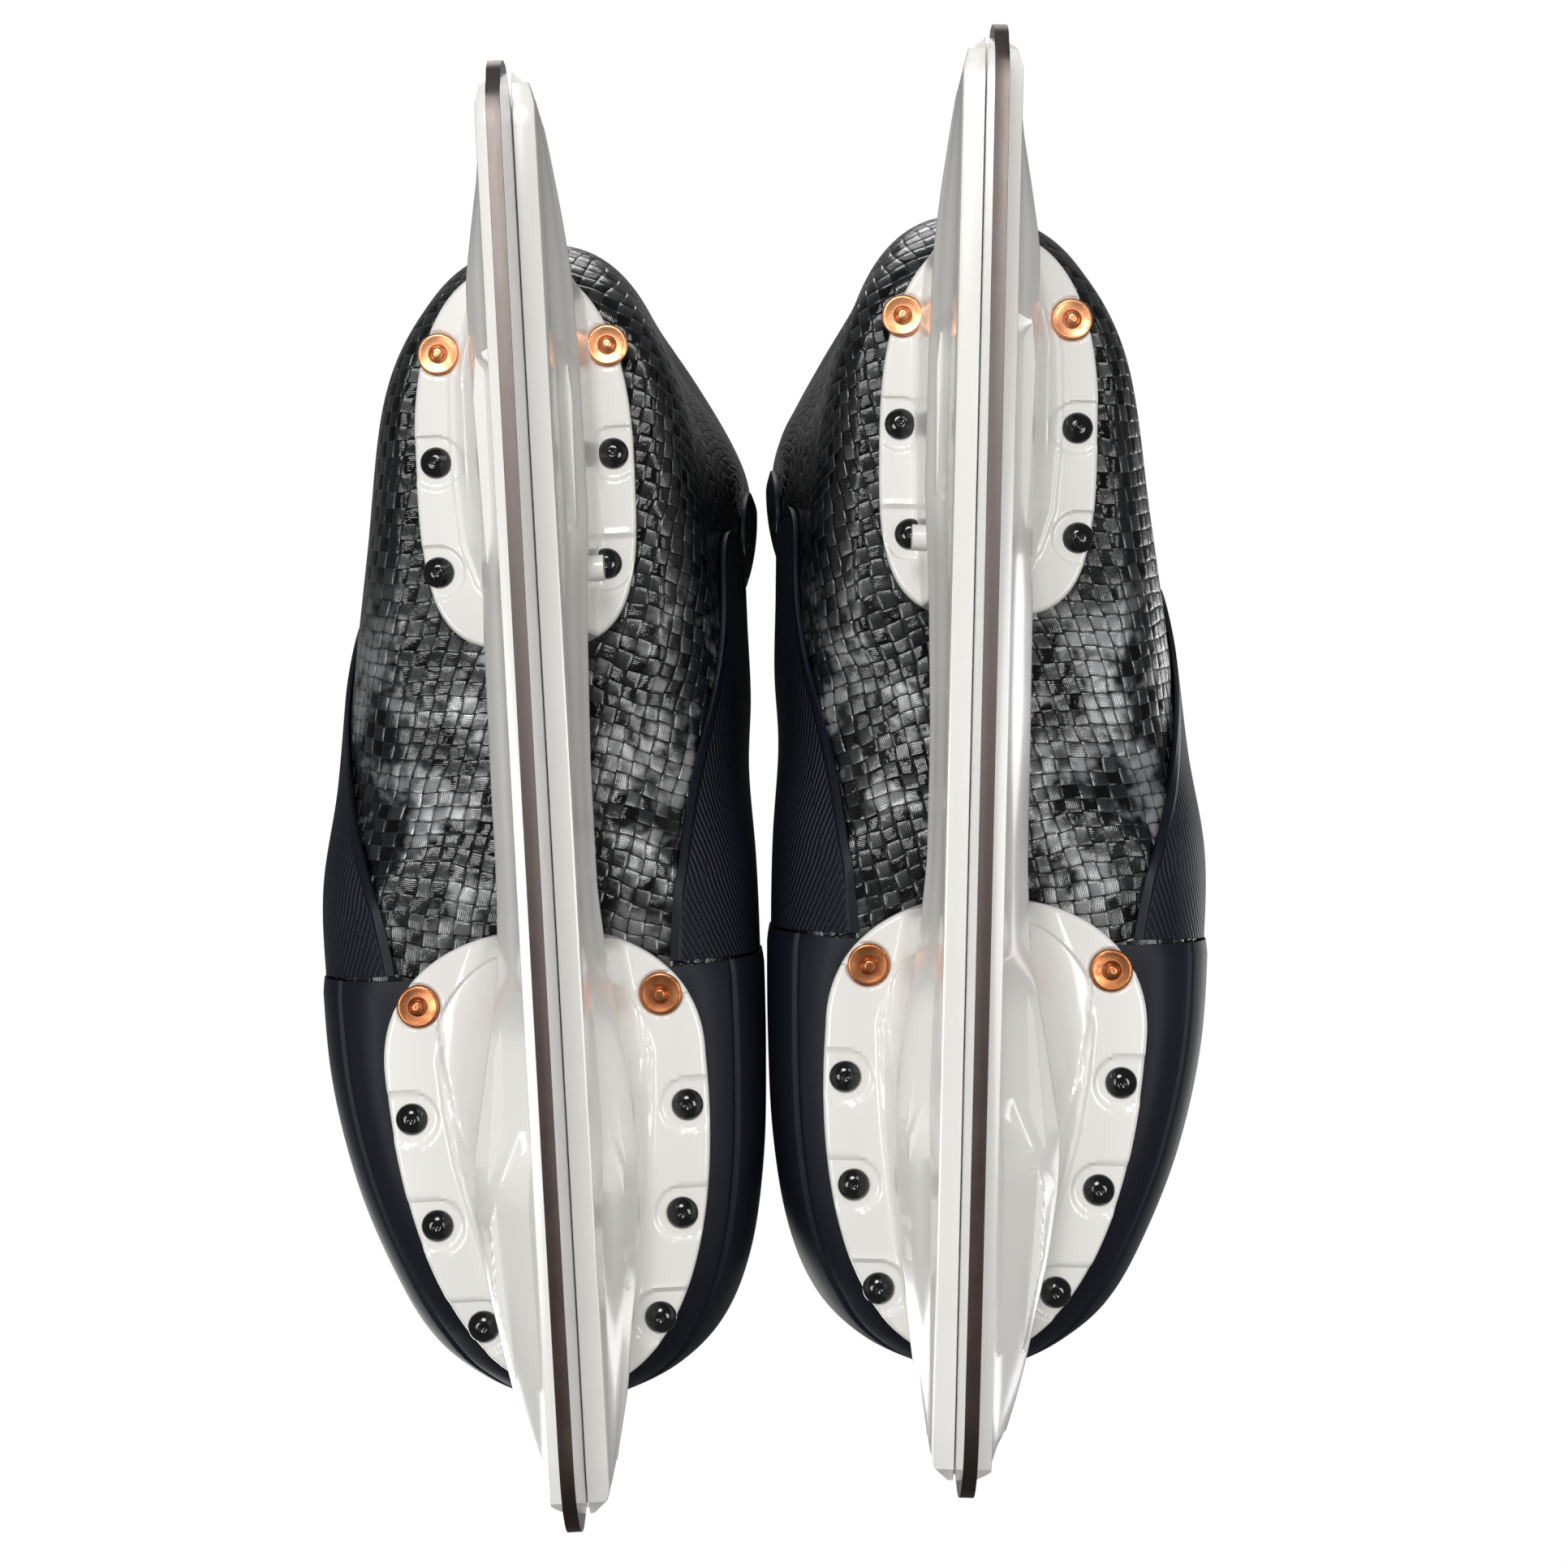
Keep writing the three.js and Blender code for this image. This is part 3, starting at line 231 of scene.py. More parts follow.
def table(xs, ys):
    """A function that reads a list of places with straight lines between them."""
    order = np.argsort(xs)
    return lambda x: np.interp(x, np.array(xs, float)[order], np.array(ys, float)[order])


def lengths(points, axis):
    """Distance run along an axis of a grid of points."""
    steps = np.linalg.norm(np.diff(points, axis=axis), axis=-1)
    start = np.zeros_like(np.take(steps, [0], axis=axis))
    return np.concatenate([start, np.cumsum(steps, axis=axis)], axis=axis)


def denser(marks, count, spots=(), reach=0.12, extra=5):
    """Evenly spread values from first to last mark, with more of them round each spot."""
    values = list(np.linspace(marks[0], marks[1], count))
    for spot in spots:
        values += list(spot + np.linspace(-reach, reach, extra))
    return np.array(sorted(v for v in values if marks[0] <= v <= marks[1]))


# ---------------------------------------------------------------- modelling by operators
def deselect():
    if bpy.context.object and bpy.context.object.mode != "OBJECT":
        bpy.ops.object.mode_set(mode="OBJECT")
    bpy.ops.object.select_all(action="DESELECT")


def only(piece):
    deselect()
    piece.select_set(True)
    bpy.context.view_layer.objects.active = piece


def in_edit_mode(piece, *calls):
    """Runs mesh operators on the whole of a piece."""
    only(piece)
    bpy.ops.object.mode_set(mode="EDIT")
    bpy.ops.mesh.select_all(action="SELECT")
    for call, settings in calls:
        call(**settings)
    bpy.ops.object.mode_set(mode="OBJECT")


def shaped_grid(name, points, uv=None, border=None, centre=None):
    """A grid primitive whose corners are moved to a table of points, with its pattern maps."""
    rows, columns = points.shape[:2]
    deselect()
    bpy.ops.mesh.primitive_grid_add(x_subdivisions=columns - 1, y_subdivisions=rows - 1,
                                    size=1, calc_uvs=True)
    sheet = bpy.context.object
    sheet.name = name
    mesh = sheet.data
    flat = np.empty(len(mesh.vertices) * 3)
    mesh.vertices.foreach_get("co", flat)
    flat = flat.reshape(-1, 3)
    c = np.rint((flat[:, 0] + 0.5) * (columns - 1)).astype(int)
    r = np.rint((flat[:, 1] + 0.5) * (rows - 1)).astype(int)
    mesh.vertices.foreach_set("co", points[r, c].ravel())
    corner = np.empty(len(mesh.loops), dtype=int)
    mesh.loops.foreach_get("vertex_index", corner)
    for layer_name, values in (("UVMap", uv), ("border", border)):
        if values is None:
            continue
        layer = mesh.uv_layers.get(layer_name) or mesh.uv_layers.new(name=layer_name)
        layer.data.foreach_set("uv", values[r, c][corner].ravel())
    mesh.update()
    if centre is not None:
        normals = np.array([p.normal for p in mesh.polygons])
        middles = np.array([p.center for p in mesh.polygons])
        if np.sum(normals * (middles - centre)) < 0:
            mesh.flip_normals()
    return sheet


def apply_modifier(piece, kind, **settings):
    only(piece)
    modifier = piece.modifiers.new(kind.title(), kind)
    for name, value in settings.items():
        setattr(modifier, name, value)
    bpy.ops.object.modifier_apply(modifier=modifier.name)


def inset(first, second, distance):
    """Points of the first row moved toward the second by a distance."""
    step = second - first
    size = np.maximum(np.linalg.norm(step, axis=-1, keepdims=True), 1e-9)
    return first + step * np.minimum(distance / size, 0.9)


def eased_rim(face, back, rim):
    """Adds a ring to each end of a face's rows that turns down toward the back."""
    return np.concatenate([
        [inset(face[0], back[0], rim), inset(face[0], face[1], rim * 0.3)], face[1:-1],
        [inset(face[-1], face[-2], rim * 0.3), inset(face[-1], back[-1], rim)]])


def walled(name, outer, inner, rim, uv=None, border=None):
    """A closed sheet between an outer and an inner grid of points, with eased rims."""
    for _ in range(2):
        outer, inner = eased_rim(outer, inner, rim), eased_rim(inner, outer, rim)
        outer, inner = outer.swapaxes(0, 1), inner.swapaxes(0, 1)
    around = np.concatenate([outer, inner[:, ::-1], outer[:, :1]], axis=1)
    ends = [np.concatenate([outer[k], outer[k][::-1], outer[k][:1]])[None] for k in (0, -1)]
    points = np.concatenate([ends[0], around, ends[1]])
    maps = []
    for values in (uv, border):
        if values is not None:
            values = np.pad(values, ((1, 1), (1, 1), (0, 0)), mode="edge")
            values = np.concatenate([values, values[:, ::-1], values[:, :1]], axis=1)
            values = np.pad(values, ((1, 1), (0, 0), (0, 0)), mode="edge")
        maps.append(values)
    piece = shaped_grid(name, points, *maps)
    closed(piece)
    return piece


def smooth(piece, angle=35):
    only(piece)
    bpy.ops.object.shade_smooth_by_angle(angle=math.radians(angle))


def closed(piece):
    """Merges seams, closes the ends and turns every face out."""
    in_edit_mode(piece,
                 (bpy.ops.mesh.remove_doubles, {"threshold": 0.002}),
                 (bpy.ops.mesh.fill_holes, {"sides": 0}),
                 (bpy.ops.mesh.normals_make_consistent, {"inside": False}))


def turned(name, profile, sides):
    """A round piece about Z, drawn up loop by loop from a circle; profile is [radius, height]."""
    deselect()
    first_radius, first_height = profile[0]
    bpy.ops.mesh.primitive_circle_add(vertices=sides, radius=first_radius, fill_type="NOTHING",
                                      location=(0, 0, 0))
    piece = bpy.context.object
    piece.name = name
    bpy.ops.object.mode_set(mode="EDIT")
    bpy.ops.mesh.select_all(action="SELECT")
    bpy.ops.transform.translate(value=(0, 0, first_height))
    for (r0, h0), (r1, h1) in zip(profile, profile[1:]):
        bpy.ops.mesh.extrude_region_move(
            TRANSFORM_OT_translate={"value": (0, 0, h1 - h0)})
        bpy.ops.transform.resize(value=(r1 / r0, r1 / r0, 1), center_override=(0, 0, h1))
    bpy.ops.object.mode_set(mode="OBJECT")
    closed(piece)
    return piece


def boolean(piece, tool, operation):
    apply_modifier(piece, "BOOLEAN", object=tool, operation=operation, solver="EXACT")
    bpy.data.objects.remove(tool)


def skate_matrix(side):
    """From one skate's millimetres to its place in the pair, in metres."""
    turn = Matrix.Rotation(-side * math.radians(TOE_IN), 4, "Z")
    place = Matrix.Translation((side * BLADE_SPACING / 2 * MM,
                                (PAIR_SHIFT - side * STAGGER / 2) * MM, 0))
    return place @ turn @ Matrix.Diagonal((side * MM, MM, MM, 1))


def on_both_skates(piece, name, body="root", replaces=None, materials=()):
    """Copies a finished piece to both skates, each with its own mesh, and drops the original."""
    for prefix, side in SIDES:
        copy = piece.copy()
        copy.data = piece.data.copy()
        copy.name = f"{prefix}_{name}"
        copy.data.name = copy.name
        bpy.context.scene.collection.objects.link(copy)
        copy.data.transform(skate_matrix(side))
        if side < 0:
            copy.data.flip_normals()
        if materials:
            copy.data.materials.clear()
            for material in materials:
                copy.data.materials.append(material)
        if replaces:
            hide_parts(*[f"{prefix}_{node}" for node in replaces])
        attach(copy, body if body == "root" else f"{prefix}_{body}")
    bpy.data.objects.remove(piece)
    deselect()


# ---------------------------------------------------------------- materials
def linear(hex_colour):
    """An sRGB hex value as linear RGBA."""
    values = [int(hex_colour[i:i + 2], 16) / 255 for i in (1, 3, 5)]
    return tuple(v / 12.92 if v <= 0.04045 else ((v + 0.055) / 1.055) ** 2.4
                 for v in values) + (1.0,)


def add(tree, kind, settings=None, **links):
    """Adds a node; links are inputs by name, each a socket or a value."""
    node = tree.nodes.new("ShaderNode" + kind)
    for name, value in (settings or {}).items():
        setattr(node, name, value)
    for name, value in links.items():
        socket = node.inputs[int(name[1:])] if name[0] == "i" and name[1:].isdigit() \
            else node.inputs[name.replace("_", " ")]
        if isinstance(value, bpy.types.NodeSocket):
            tree.links.new(value, socket)
        else:
            socket.default_value = value
    return node


def maths(tree, operation, *values):
    """One sum on sockets or numbers."""
    return add(tree, "Math", {"operation": operation},
               **{f"i{i}": value for i, value in enumerate(values)}).outputs[0]


def begin(name, **principled):
    """A new material with its shader; returns it with its tree and the shader node."""
    material = bpy.data.materials.new(name)
    material.use_nodes = True
    tree = material.node_tree
    shader = tree.nodes["Principled BSDF"]
    for socket, value in principled.items():
        shader.inputs[socket.replace("_", " ")].default_value = value
    return material, tree, shader


def object_space(tree):
    return add(tree, "TexCoord").outputs["Object"]


def noise(tree, vector, size_mm, detail=3.0, roughness=0.55):
    """Noise on metres whose features are about size_mm across."""
    return add(tree, "TexNoise", {"noise_dimensions": "3D"}, Vector=vector,
               Scale=1 / (size_mm * MM), Detail=detail, Roughness=roughness).outputs["Fac"]


def ramp(tree, value, low, high):
    """0 at low and 1 at high, smooth between."""
    return add(tree, "MapRange", {"interpolation_type": "SMOOTHSTEP"}, Value=value,
               From_Min=low, From_Max=high).outputs["Result"]


def blend(tree, share, first, second):
    """Mixes two colours by share; each is a hex value or a socket."""
    node = add(tree, "Mix", {"data_type": "RGBA"})
    for index, value in ((0, share), (6, first), (7, second)):
        if isinstance(value, bpy.types.NodeSocket):
            tree.links.new(value, node.inputs[index])
        else:
            node.inputs[index].default_value = linear(value) if isinstance(value, str) else value
    return node.outputs[2]


def bump(tree, height, distance_mm, strength=1.0, under=None):
    node = add(tree, "Bump", Height=height, Distance=distance_mm * MM, Strength=strength)
    if under is not None:
        tree.links.new(under, node.inputs["Normal"])
    return node.outputs["Normal"]


def moulded_nylon(settings):
    """Glass-smooth injection-moulded nylon, warm white: sharp soft-edged highlights, faint sink
    waviness, and grey rub marks from use."""
    material, tree, shader = begin("White moulded nylon", IOR=1.5,
                                   Coat_Weight=0.2, Coat_Roughness=0.08)
    at = object_space(tree)
    tint = blend(tree, noise(tree, at, 38, 2), settings.holder_white, settings.holder_shade)
    streaks = add(tree, "Mapping", Vector=at, Scale=(1.0, 0.16, 1.0)).outputs[0]
    rub = maths(tree, "MULTIPLY", ramp(tree, noise(tree, streaks, 1.1, 6, 0.72), 0.66, 0.80),
                ramp(tree, noise(tree, at, 17, 2), 0.52, 0.70))
    tree.links.new(blend(tree, maths(tree, "MULTIPLY", rub, 0.55), tint, "#8E8A86"),
                   shader.inputs["Base Color"])
    tree.links.new(maths(tree, "MULTIPLY_ADD", rub, 0.3, 0.22), shader.inputs["Roughness"])
    wavy = bump(tree, noise(tree, at, 12, 1.5), 0.10, 0.5)
    tree.links.new(bump(tree, rub, -0.03, 0.6, wavy), shader.inputs["Normal"])
    return material


def carbon_weave(settings):
    """Carbon tows woven one over one and pressed in clear epoxy: dark pillows whose fibres catch
    the light in turn, painted into the colour as a checker of lit and shaded tows, under a hard
    wavy gloss; the paler patches rubbed into the arch are partly wear and partly a painted
    highlight."""
    material, tree, shader = begin("Woven carbon in epoxy", IOR=1.65, Anisotropic=0.7,
                                   Coat_Weight=0.7, Coat_IOR=1.5, Coat_Roughness=0.06)
    at = object_space(tree)
    uv = add(tree, "UVMap", {"uv_map": "UVMap"}).outputs[0]
    wander = add(tree, "TexNoise", {"noise_dimensions": "3D"}, Vector=uv, Scale=0.05,
                 Detail=2.0).outputs["Color"]
    off = add(tree, "VectorMath", {"operation": "MULTIPLY_ADD"}, i0=wander, i1=(5.0, 5.0, 0),
              i2=uv).outputs[0]
    turned_uv = add(tree, "Mapping", Vector=off, Rotation=(0, 0, math.radians(-14)),
                    Scale=(1 / settings.tow_width, 1 / settings.tow_width, 1)).outputs[0]
    part = add(tree, "SeparateXYZ", Vector=turned_uv)
    u, v = part.outputs[0], part.outputs[1]
    cell = [maths(tree, "FLOOR", one) for one in (u, v)]
    warp = maths(tree, "FLOORED_MODULO", maths(tree, "ADD", *cell), 2.0)
    away = [maths(tree, "MULTIPLY", maths(tree, "ABSOLUTE", maths(
        tree, "SUBTRACT", maths(tree, "FRACT", one), 0.5)), 2.0) for one in (u, v)]
    across = add(tree, "Mix", {"data_type": "FLOAT"}, i0=warp, i2=away[1], i3=away[0]).outputs[0]
    along = add(tree, "Mix", {"data_type": "FLOAT"}, i0=warp, i2=away[0], i3=away[1]).outputs[0]
    lane = add(tree, "Mix", {"data_type": "FLOAT"}, i0=warp, i2=v, i3=u).outputs[0]
    fibre = maths(tree, "SINE", maths(tree, "MULTIPLY", lane, 2 * math.pi * 9))
    arch = maths(tree, "SUBTRACT", 1.0, maths(tree, "POWER", across, 6.0))
    sink = maths(tree, "MULTIPLY", maths(tree, "POWER", along, 2.6), 0.6)
    pillow = maths(tree, "MULTIPLY_ADD", fibre, 0.05, maths(tree, "SUBTRACT", arch, sink))
    each = add(tree, "TexWhiteNoise", {"noise_dimensions": "2D"}, Vector=add(
        tree, "CombineXYZ", X=cell[0], Y=cell[1]).outputs[0]).outputs["Value"]
    # Painted light and shade: warp tows are painted lighter and weft tows darker, as if lit and
    # shaded, with a random tone per tow cell mixed in; the same mask also raises the specular
    # level.
    painted_tow_light_and_tone = maths(tree, "MULTIPLY_ADD", warp, 0.5, maths(tree, "MULTIPLY", each, 0.5))
    shade = blend(tree, painted_tow_light_and_tone, settings.carbon_dark, settings.carbon_light)
    speck = ramp(tree, noise(tree, at, 0.8, 5, 0.7), 0.5, 0.62)
    ends = maths(tree, "MULTIPLY", ramp(tree, along, 0.72, 0.95), speck)
    base = blend(tree, maths(tree, "MULTIPLY", ends, 0.35), shade, "#5A5D60")
    place = add(tree, "SeparateXYZ", Vector=at).outputs[1]
    under_arch = maths(tree, "MULTIPLY", ramp(tree, place, -0.045, -0.022),
                       maths(tree, "SUBTRACT", 1.0, ramp(tree, place, 0.022, 0.052)))
    patch = maths(tree, "MULTIPLY", ramp(tree, noise(tree, at, 14, 3, 0.6), 0.47, 0.62), under_arch)
    # Partly wear, partly painted highlight: pale patches in the arch stand in for the glints there
    # as well as for rubbed resin.
    wear_and_painted_glint = maths(tree, "MULTIPLY", patch,
                 ramp(tree, maths(tree, "MULTIPLY_ADD", speck, 0.3, pillow), 0.15, 1.0))
    tree.links.new(blend(tree, maths(tree, "MULTIPLY", wear_and_painted_glint, 0.5), base, "#A3A4A6"),
                   shader.inputs["Base Color"])
    tree.links.new(maths(tree, "MULTIPLY_ADD", each, 0.2, 0.2), shader.inputs["Roughness"])
    glint = maths(tree, "POWER", painted_tow_light_and_tone, 2.2)
    level = maths(tree, "MULTIPLY_ADD", patch, 0.7, maths(tree, "MULTIPLY_ADD", glint, 0.5, 0.01))
    tree.links.new(level, shader.inputs["Specular IOR Level"])
    tree.links.new(maths(tree, "MULTIPLY", warp, 0.25), shader.inputs["Anisotropic Rotation"])
    tree.links.new(add(tree, "Tangent", {"direction_type": "UV_MAP", "uv_map": "UVMap"}).outputs[0],
                   shader.inputs["Tangent"])
    tree.links.new(bump(tree, pillow, 0.3, 0.9), shader.inputs["Normal"])
    wave = maths(tree, "MULTIPLY_ADD", noise(tree, at, 4.5, 3), 0.9,
                 maths(tree, "MULTIPLY", pillow, 0.45))
    tree.links.new(bump(tree, wave, 0.5, 0.85), shader.inputs["Coat Normal"])
    return material


def moulded_polyurethane(settings, ribbed=False):
    """Matte navy polyurethane. The plain finish has a fine leather-like grain; the ribbed one
    has raised diagonal ribs a millimetre apart inside a smooth border with a row of dots."""
    name = "Ribbed polyurethane film" if ribbed else "Grained moulded polyurethane"
    material, tree, shader = begin(name, Roughness=0.55, IOR=1.45, Specular_IOR_Level=0.35)
    at = object_space(tree)
    tint = blend(tree, noise(tree, at, 22, 3), settings.navy, settings.navy_light)
    streaks = add(tree, "Mapping", Vector=at, Scale=(1.0, 0.25, 1.0)).outputs[0]
    scuff = maths(tree, "MULTIPLY", ramp(tree, noise(tree, streaks, 0.9, 6, 0.75), 0.68, 0.82),
                  ramp(tree, noise(tree, at, 14, 2), 0.5, 0.7))
    tree.links.new(blend(tree, maths(tree, "MULTIPLY", scuff, 0.4), tint, "#5A606B"),
                   shader.inputs["Base Color"])
    grain = bump(tree, noise(tree, at, 0.55, 3, 0.6), 0.03, 0.6)
    if ribbed:
        uv = add(tree, "UVMap", {"uv_map": "UVMap"}).outputs[0]
        across = add(tree, "VectorMath", {"operation": "DOT_PRODUCT"}, i0=uv,
                     i1=(math.sin(math.radians(62)), math.cos(math.radians(62)), 0))
        wave = maths(tree, "SINE", maths(tree, "MULTIPLY", across.outputs["Value"],
                                         2 * math.pi / settings.rib_pitch))
        rib = maths(tree, "POWER", maths(tree, "MULTIPLY_ADD", wave, 0.5, 0.5), 1.6)
        edge = add(tree, "SeparateXYZ",
                   Vector=add(tree, "UVMap", {"uv_map": "border"}).outputs[0])
        inside = ramp(tree, edge.outputs[1], 2.3, 2.9)
        strip = maths(tree, "SUBTRACT", 1.0, ramp(tree, edge.outputs[1], 1.9, 2.6))
        run = maths(tree, "SUBTRACT", maths(tree, "FRACT",
                                            maths(tree, "DIVIDE", edge.outputs[0], 3.2)), 0.5)
        dot = add(tree, "VectorMath", {"operation": "LENGTH"}, i0=add(
            tree, "CombineXYZ", X=maths(tree, "MULTIPLY", run, 3.2),
            Y=maths(tree, "SUBTRACT", edge.outputs[1], 6.6)).outputs[0])
        dots = maths(tree, "SUBTRACT", 1.0, ramp(tree, dot.outputs["Value"], 0.3, 0.6))
        relief = maths(tree, "MAXIMUM", maths(tree, "MULTIPLY", rib, inside),
                       maths(tree, "MAXIMUM", maths(tree, "MULTIPLY", strip, 1.1), dots))
        grain = bump(tree, relief, 0.30, 0.9, grain)
        tree.links.new(maths(tree, "MULTIPLY_ADD", inside, 0.07, 0.47),
                       shader.inputs["Roughness"])
    tree.links.new(grain, shader.inputs["Normal"])
    return material


def ground_steel(settings, running=False):
    """Hardened stainless runner steel: polished sides like a mirror with hairline lengthwise
    grinding; the running surface is ground across its hollow, spotted with stains, and painted from
    darker at the toe to lighter at the heel, the lighter heel a painted reflection."""
    name = "Ground running surface" if running else "Polished stainless steel"
    material, tree, shader = begin(name, Metallic=1.0)
    at = object_space(tree)
    lines = add(tree, "Mapping", Vector=at, Scale=(1.0, 0.012, 1.0)).outputs[0]
    hair = noise(tree, lines, 0.16, 4, 0.6)
    if running:
        place = add(tree, "SeparateXYZ", Vector=at).outputs[1]
        # Painted reflection: the base colour runs from darker at the toe to lighter at the heel,
        # the lighter heel end standing in for the reflection the running surface shows there.
        toward_heel = ramp(tree, place, -0.11, 0.11)
        toe_to_heel_painted_reflection = blend(tree, toward_heel, settings.edge_dark, settings.edge_heel_painted_reflection)
        spots = ramp(tree, noise(tree, at, 6, 4, 0.65), 0.42, 0.62)
        colour = blend(tree, maths(tree, "MULTIPLY", spots, 0.2), toe_to_heel_painted_reflection, "#6A5648")
        tree.links.new(maths(tree, "MULTIPLY_ADD", hair, 0.15, 0.36), shader.inputs["Roughness"])
    else:
        marks = ramp(tree, noise(tree, at, 11, 4), 0.5, 0.75)
        colour = blend(tree, maths(tree, "MULTIPLY", marks, 0.3), "#D9DBDE", "#A9ABAF")
        tree.links.new(maths(tree, "MULTIPLY_ADD", hair, 0.08, 0.05), shader.inputs["Roughness"])
    tree.links.new(colour, shader.inputs["Base Color"])
    tree.links.new(bump(tree, hair, 0.012, 0.5), shader.inputs["Normal"])
    return material


def copper(settings):
    """Annealed copper, stamped and peened: warm metal, redder and duller where it has tarnished,
    with hammer facets on the peened end."""
    material, tree, shader = begin("Peened copper", Metallic=1.0)
    at = object_space(tree)
    place = add(tree, "SeparateXYZ", Vector=at).outputs[1]
    fresh = blend(tree, ramp(tree, place, -0.03, 0.08), settings.copper_red, settings.copper_bright)
    film = ramp(tree, noise(tree, at, 1.9, 4, 0.65), 0.48, 0.66)
    tree.links.new(blend(tree, maths(tree, "MULTIPLY", film, 0.35), fresh, "#8C4A2E"),
                   shader.inputs["Base Color"])
    tree.links.new(maths(tree, "MULTIPLY_ADD", film, 0.15, 0.32), shader.inputs["Roughness"])
    tree.links.new(bump(tree, noise(tree, at, 0.5, 3), 0.03, 0.5), shader.inputs["Normal"])
    return material


def black_enamel(settings):
    """Baked black enamel on steel: deep gloss with a slight orange peel and dust."""
    material, tree, shader = begin("Baked black enamel", IOR=1.5,
                                   Coat_Weight=0.35, Coat_Roughness=0.12)
    at = object_space(tree)
    dust = ramp(tree, noise(tree, at, 0.9, 5, 0.7), 0.56, 0.72)
    tree.links.new(blend(tree, maths(tree, "MULTIPLY", dust, 0.25), settings.enamel, "#3B3B3C"),
                   shader.inputs["Base Color"])
    tree.links.new(maths(tree, "MULTIPLY_ADD", dust, 0.25, 0.12), shader.inputs["Roughness"])
    tree.links.new(bump(tree, noise(tree, at, 1.1, 2), 0.03, 0.5), shader.inputs["Normal"])
    return material


def textile(name, first, second, thread_mm, felted=False):
    """Boot textiles: a knit has crossed rows of loops, a felt has matted fibres; both are matt
    with a soft sheen at grazing angles."""
    material, tree, shader = begin(name, Roughness=0.92, Sheen_Weight=0.35, Sheen_Roughness=0.5)
    at = object_space(tree)
    mottle = noise(tree, at, 7, 4, 0.6)
    if felted:
        fibres = add(tree, "TexNoise", {"noise_dimensions": "3D"}, Vector=at,
                     Scale=1 / (thread_mm * MM), Detail=6.0, Distortion=1.6).outputs["Fac"]
    else:
        uv = add(tree, "UVMap", {"uv_map": "UVMap"}).outputs[0]
        part = add(tree, "SeparateXYZ", Vector=uv)
        loops = [maths(tree, "SINE", maths(tree, "MULTIPLY", part.outputs[i],
                                           2 * math.pi / thread_mm)) for i in (0, 1)]
        fibres = maths(tree, "MULTIPLY_ADD", maths(tree, "MULTIPLY", loops[0], loops[1]), 0.5, 0.5)
    tree.links.new(blend(tree, maths(tree, "MULTIPLY_ADD", fibres, 0.6,
                                     maths(tree, "MULTIPLY", mottle, 0.4)), first, second),
                   shader.inputs["Base Color"])
    tree.links.new(bump(tree, fibres, 0.22, 0.8), shader.inputs["Normal"])
    return material


def bead_blast(name, colour, metallic, roughness):
    """Small hardware with a fine even blasted or moulded texture."""
    material, tree, shader = begin(name, Metallic=metallic, Roughness=roughness)
    at = object_space(tree)
    tree.links.new(blend(tree, noise(tree, at, 4, 4), colour, "#4A4B4E"),
                   shader.inputs["Base Color"])
    tree.links.new(bump(tree, noise(tree, at, 0.5, 3), 0.04, 0.6), shader.inputs["Normal"])
    return material


def finishes(settings):
    """Every finish of the skates by name, made once."""
    made = {}
    made["holder"] = moulded_nylon(settings)
    made["carbon"] = carbon_weave(settings)
    made["cap"] = moulded_polyurethane(settings)
    made["panel"] = moulded_polyurethane(settings, ribbed=True)
    made["steel"] = ground_steel(settings)
    made["running"] = ground_steel(settings, running=True)
    made["copper"] = copper(settings)
    made["enamel"] = black_enamel(settings)
    made["knit"] = textile("Brushed polyester knit", "#17181B", "#2C2E33", 0.9)
    made["footbed"] = textile("Printed footbed knit", "#2A2C31", "#484B52", 0.8)
    made["felt"] = textile("Pressed wool felt", "#8A8B8E", "#B2B2B3", 0.5, felted=True)
    made["facing"] = textile("Woven nylon facing", "#101113", "#26282C", 0.7)
    made["lever"] = bead_blast("Moulded glass-filled nylon", "#0E0E10", 0.0, 0.5)
    made["plain_steel"] = bead_blast("Zinc-plated spring steel", "#A8A9AC", 1.0, 0.35)
    return made


FINISHES = {}


def finish(name):
    if not FINISHES:
        FINISHES.update(finishes(bpy.context.scene.skate_finishes))
    return FINISHES[name]


# ---------------------------------------------------------------- boot pieces
LAYER_GAP = 0.5
PANEL_WALL = 1.1
SHELL_WALL = 2.2
LATERAL_EDGE = ((7, 0.85), (8, 1.15), (9, 1.95), (10, 2.9), (11, 3.6), (12, 4), (20, 4.2))
MEDIAL_EDGE = ((7, 0.85), (8, 1.12), (9, 1.5), (10, 2.35), (11, 3.1), (12, 3.8), (20, 4))


def pattern_map(points, middle):
    """Distances in millimetres across and along a sheet, for its weave or ribs."""
    across = lengths(points, 1)
    across = across - across[:, middle:middle + 1]
    along = lengths(points, 0)
    return np.stack([across, along], axis=-1)


def border_map(points, edge):
    """Distance along an edge line and away from it, for every point of a sheet."""
    run = lengths(edge[None], 1)[0]
    flat = points.reshape(-1, 3)
    gap = np.linalg.norm(flat[:, None, :] - edge[None, :, :], axis=-1)
    nearest = np.argmin(gap, axis=1)
    return np.stack([run[nearest], gap.min(axis=1)], -1).reshape(points.shape[:2] + (2,))


def collar_dip(columns):
    """How far below the collar row the shell's top edge runs at each column."""
    side = np.clip(np.abs(columns) / SIDE_COLUMNS, 0, 1)
    return 0.42 * np.sin(math.pi * side) ** 2


def sheet_over(start, top, columns, count, offset):
    """A sheet of the boot from row start up to a top edge that varies with the column."""
    share = np.linspace(0, 1, count)[:, None]
    rows = mix(start, top[None, :], share)
    points = boot(rows, columns[None, :], offset)
    return points, rows


